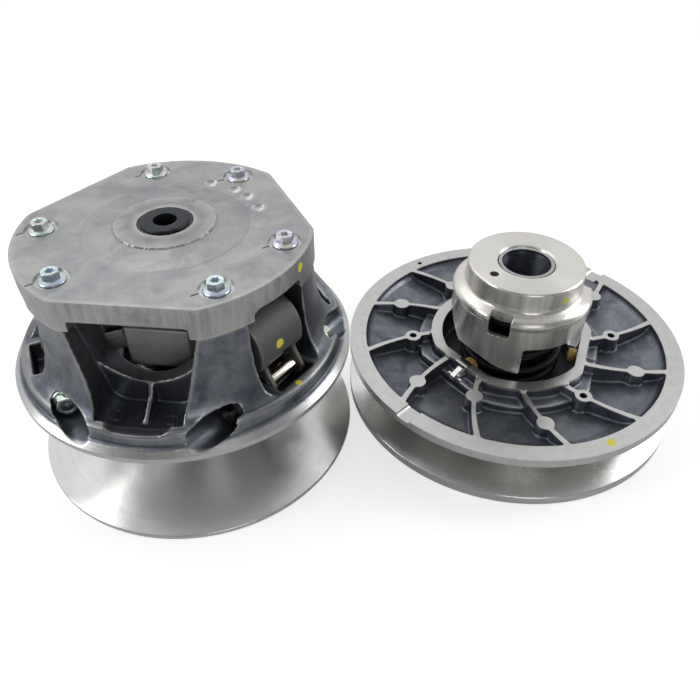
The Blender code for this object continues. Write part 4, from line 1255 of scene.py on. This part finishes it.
def driven_tube_shape():
    loop = [(15.4, 93.4), (15.9, 93.4), (16.5, 92.8), (16.5, 1.4), (15.9, 0.8), (12.4, 0.8),
            (12.4, 64.0), (13.8, 66.0)]
    for k in range(16):
        z = 67.0 + 1.6 * k
        loop += [(15.0, z), (14.3, z + 0.8)]
    return lathe("tube", loop, 96)


def clip_shape():
    low, top = RING_WALL_TOP - 9.0, RING_WALL_TOP + 0.3
    azimuth = DRIVEN_TURN + CAM_AZ - 120.0
    strap = [(42.6, top), (47.5, top), (47.5, low), (52.6, low), (52.6, low + 0.9),
             (48.4, low + 0.9), (48.4, top + 0.9), (42.6, top + 0.9)]
    body = tangent_block("clip", [eased(strap, 0.5, 3)], -3.5, 5.5, azimuth)
    roll = tangent_rod("roll", 1.5, -4.6, 6.6, 52.2, low + 1.4, azimuth, 32, 0.4)
    tongue = tangent_block("tongue", [[(48.0, top - 2.6), (55.4, low + 3.4), (55.4, low + 4.2),
                                       (48.0, top - 1.7)]], -0.6, 2.6, azimuth)
    body = fuse(body, [roll, tongue])
    slot = [(44.4, top - 1.0), (50.0, top - 1.0), (50.0, top - 3.4), (44.4, top + 2.0)]
    return cut(body, [tangent_block("slot", [slot], 3.2, 4.4, azimuth)])


def build_driven(m):
    place(driven_fixed_shape(), "driven_fixed_sheave", m["driven_face"], 30.0)
    place(driven_tube_shape(), "driven_post", m["tube"])
    place(driven_moving_shape(), "driven_moving_sheave", m["wheel"], 40.0)
    place(cup_shape(), "helix_cup", m["cup"], 40.0)
    place(clip_shape(), "hub_clip", m["clip"], 40.0)
    for k in range(3):
        az = DRIVEN_TURN + CAM_AZ + 120.0 * k
        loop = [(2.58, 41.6), (5.0, 41.6), (5.0, 36.4), (2.58, 36.4)]
        roller = move(lathe("roller", eased(loop, 0.4, 3), 64), across(az))
        place(shifted(roller, 0.0, 0.0, CAM_Z), f"cam_roller_{k + 1}", m["amber"])
        pin = move(rod("pin", 2.5, 35.6, 47.2, 48, 0.4), across(az))
        place(shifted(pin, 0.0, 0.0, CAM_Z), f"cam_roller_pin_{k + 1}", m["pin"])
    spring = place(coil("spring", 29.6, 4.0, WELL_FLOOR + 0.4, 74.8, 5.5), "driven_spring",
                   m["spring"], 60.0)
    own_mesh(spring)


# --------------------------------------------------------------------- finishes

def pen_marks():
    """A short witness line beside each cover screw."""
    marks = []
    for x, y in bolt_places():
        start = (x - 11.2, y - 4.6, COVER_TOP)
        end = (x - 7.0, y - 2.6, COVER_TOP)
        marks.append((start, end, 0.75))
    return marks


def finishes():
    m = {}
    x, y = polar(77.0, -32.0)
    m["cover"] = cast_metal("cover_cast", DRIVE_X, (0.27, 0.28, 0.295), (0.40, 0.395, 0.385),
                            (0.55, 0.535, 0.51), (0.56, 0.56, 0.56), 0.42,
                            dabs=[((x, y, 134.0), 2.8)], strokes=pen_marks(), rubbed=0.3,
                            sanded=0.6, stained=0.5)
    x, y = polar(87.0, POCKETS[2] - 2.0)
    m["bell"] = cast_metal("bell_cast", DRIVE_X, (0.06, 0.07, 0.09), (0.20, 0.215, 0.24),
                           (0.42, 0.415, 0.40), (0.60, 0.60, 0.60), 0.34,
                           dabs=[((x, y, 78.0), 2.0)], rubbed=0.45, sanded=0.24,
                           fine=7.0)
    x, y = polar(100.0, -77.0)
    m["wheel"] = cast_metal("wheel_cast", DRIVEN_X, (0.085, 0.095, 0.12), (0.235, 0.25, 0.275),
                            (0.48, 0.48, 0.48), (0.62, 0.615, 0.60), 0.36,
                            dabs=[((x, y, ANNULUS_Z), 3.0)], rubbed=0.35)
    m["drive_face"] = turned_metal("drive_face_turned", DRIVE_X, (0.76, 0.76, 0.74), 0.22, 0.8)
    m["driven_face"] = turned_metal("driven_face_turned", DRIVEN_X, (0.72, 0.72, 0.70), 0.24, 0.8)
    x, y = polar(CUP_TOP_R, -69.0)
    m["cup"] = turned_metal("cup_satin", DRIVEN_X, (0.74, 0.72, 0.67), 0.29, 0.8, 0.04,
                            dabs=[((x, y, 89.0), 2.4)], streaked=0.6)
    m["post"] = plain_metal("post_black", DRIVE_X, (0.02, 0.022, 0.026), (0.05, 0.055, 0.06), 0.42)
    m["tube"] = plain_metal("tube_black", DRIVEN_X, (0.025, 0.03, 0.035), (0.06, 0.065, 0.075),
                            0.35)
    m["spider"] = plain_metal("spider_steel", DRIVE_X, (0.42, 0.42, 0.43), (0.62, 0.58, 0.52),
                              0.34, 0.06, 0.04, 0.4, 0.0)
    x, y = polar(75.0, POCKETS[2])
    turn = math.radians(POCKETS[2])
    spot = (x + 2.0 * math.sin(turn), y - 2.0 * math.cos(turn), 98.0)
    m["weight"] = plain_metal("weight_phosphate", DRIVE_X, (0.085, 0.085, 0.083),
                              (0.13, 0.126, 0.118), 0.5, 1.2, 0.12, 0.5, 0.2, [(spot, 3.0)])
    m["sleeve"] = turned_metal("sleeve_polished", DRIVE_X, (0.86, 0.78, 0.68), 0.12, 0.0, 0.05,
                               depth=0.005)
    m["pin"] = plain_metal("pin_steel", 0.0, (0.35, 0.35, 0.36), (0.5, 0.5, 0.5), 0.3)
    m["black"] = plain_metal("bolt_black", 0.0, (0.03, 0.03, 0.033), (0.07, 0.07, 0.075), 0.34)
    m["spring"] = plain_metal("spring_wire", 0.0, (0.008, 0.008, 0.009), (0.015, 0.015, 0.017),
                              0.6, metal=0.3, edge=0.0)
    m["clip"] = plain_metal("clip_steel", DRIVEN_X, (0.55, 0.55, 0.54), (0.75, 0.74, 0.72), 0.2)
    m["bronze"] = plain_metal("bushing_bronze", 0.0, (0.42, 0.28, 0.12), (0.6, 0.42, 0.2), 0.35)
    m["amber"] = plain_metal("roller_amber", 0.0, (0.42, 0.27, 0.06), (0.58, 0.4, 0.12), 0.42,
                             0.4, 0.03, 0.0)
    m["zinc"] = [zinc_metal(f"zinc_{i + 1}", 0.33 * i) for i in range(3)]
    return m


def dress_inner_nodes(m):
    """CAD nodes that stay in view keep their shape and get eased edges and a finish."""
    kept = {"belt_idler_bearing": "pin", "idler_washer": "pin", "drive_sheave_bushing": "bronze",
            "cover_bushing": "black", "spider_jam_nut": "black", "driven_bushing": "bronze",
            "driven_snap_ring": "pin", "driven_spring_washer": "pin"}
    for node, finish in kept.items():
        item = frame["nodes"][node]
        item.data.materials.clear()
        item.data.materials.append(m[finish])
        ease_edges(item, 0.25, 40.0)


# ------------------------------------------------------------------------- stage

def stage_floor():
    mesh = bpy.data.meshes.new("floor")
    work = bmesh.new()
    bmesh.ops.create_grid(work, x_segments=2, y_segments=2, size=6.0)
    work.to_mesh(mesh)
    work.free()
    floor = link("floor", mesh)
    s = Shade("floor_pale")
    seen = s.node("ShaderNodeLightPath").outputs["Is Camera Ray"]
    tone = s.mix(seen, (0.62, 0.62, 0.62), (0.50, 0.50, 0.50))
    glow = s.times(seen, 0.62)
    mesh.materials.append(s.finish(tone, 0.7, 0.0, Emission_Color=(1.0, 1.0, 1.0),
                                   Emission_Strength=glow))


def soft_light(name, place_at, size, power, aim=(0.0, 0.0, 0.06)):
    lamp = bpy.data.lights.new(name, "AREA")
    lamp.shape = "RECTANGLE"
    lamp.size, lamp.size_y = size
    lamp.energy = power
    item = link(name, lamp)
    item.location = place_at
    item.rotation_euler = (Vector(aim) - Vector(place_at)).to_track_quat("-Z", "Y").to_euler()


def stage_world():
    """Soft room light: bright behind the object, dim on the camera's side and overhead."""
    world = bpy.data.worlds.new("studio")
    bpy.context.scene.world = world
    world.use_nodes = True
    nodes, links = world.node_tree.nodes, world.node_tree.links
    ray = nodes.new("ShaderNodeTexCoord")
    split = nodes.new("ShaderNodeSeparateXYZ")
    links.new(ray.outputs["Generated"], split.inputs[0])
    depth = nodes.new("ShaderNodeValToRGB")
    shift = nodes.new("ShaderNodeMapRange")
    shift.inputs[1].default_value = -1.0
    links.new(split.outputs["Y"], shift.inputs[0])
    links.new(shift.outputs[0], depth.inputs["Fac"])
    stops = ((0.0, 0.20), (0.34, 0.30), (0.52, 0.80), (0.80, 0.98))
    elements = depth.color_ramp.elements
    while len(elements) < len(stops):
        elements.new(0.5)
    for element, (position, value) in zip(elements, stops):
        element.position = position
        element.color = (value, value * 1.005, value * 1.02, 1.0)
    links.new(depth.outputs["Color"], nodes["Background"].inputs["Color"])
    nodes["Background"].inputs["Strength"].default_value = 0.9


def stage_camera():
    data = bpy.data.cameras.new("camera")
    data.sensor_width = 36.0
    data.lens = CAMERA_LENS
    data.clip_start = 0.01
    camera = link("camera", data)
    camera.location = Vector(CAMERA_AT) * MM
    camera.rotation_euler = (math.radians(90.0 - CAMERA_DOWN), 0.0, math.radians(CAMERA_TURN))
    bpy.context.scene.camera = camera


def stage():
    stage_floor()
    stage_world()
    soft_light("key", (-0.35, 0.55, 0.9), (0.9, 0.5), 1.2, (0.0, 0.0, 0.05))
    soft_light("left", (-0.9, -0.1, 0.5), (0.3, 0.7), 3.2)
    soft_light("right", (0.9, 0.0, 0.5), (0.3, 0.7), 3.0)
    soft_light("front", (0.1, -1.0, 0.5), (0.5, 0.3), 1.6)
    stage_camera()
    bpy.context.scene.view_settings.view_transform = "Standard"


made = finishes()
build_drive(made)
build_driven(made)
dress_inner_nodes(made)
stage()
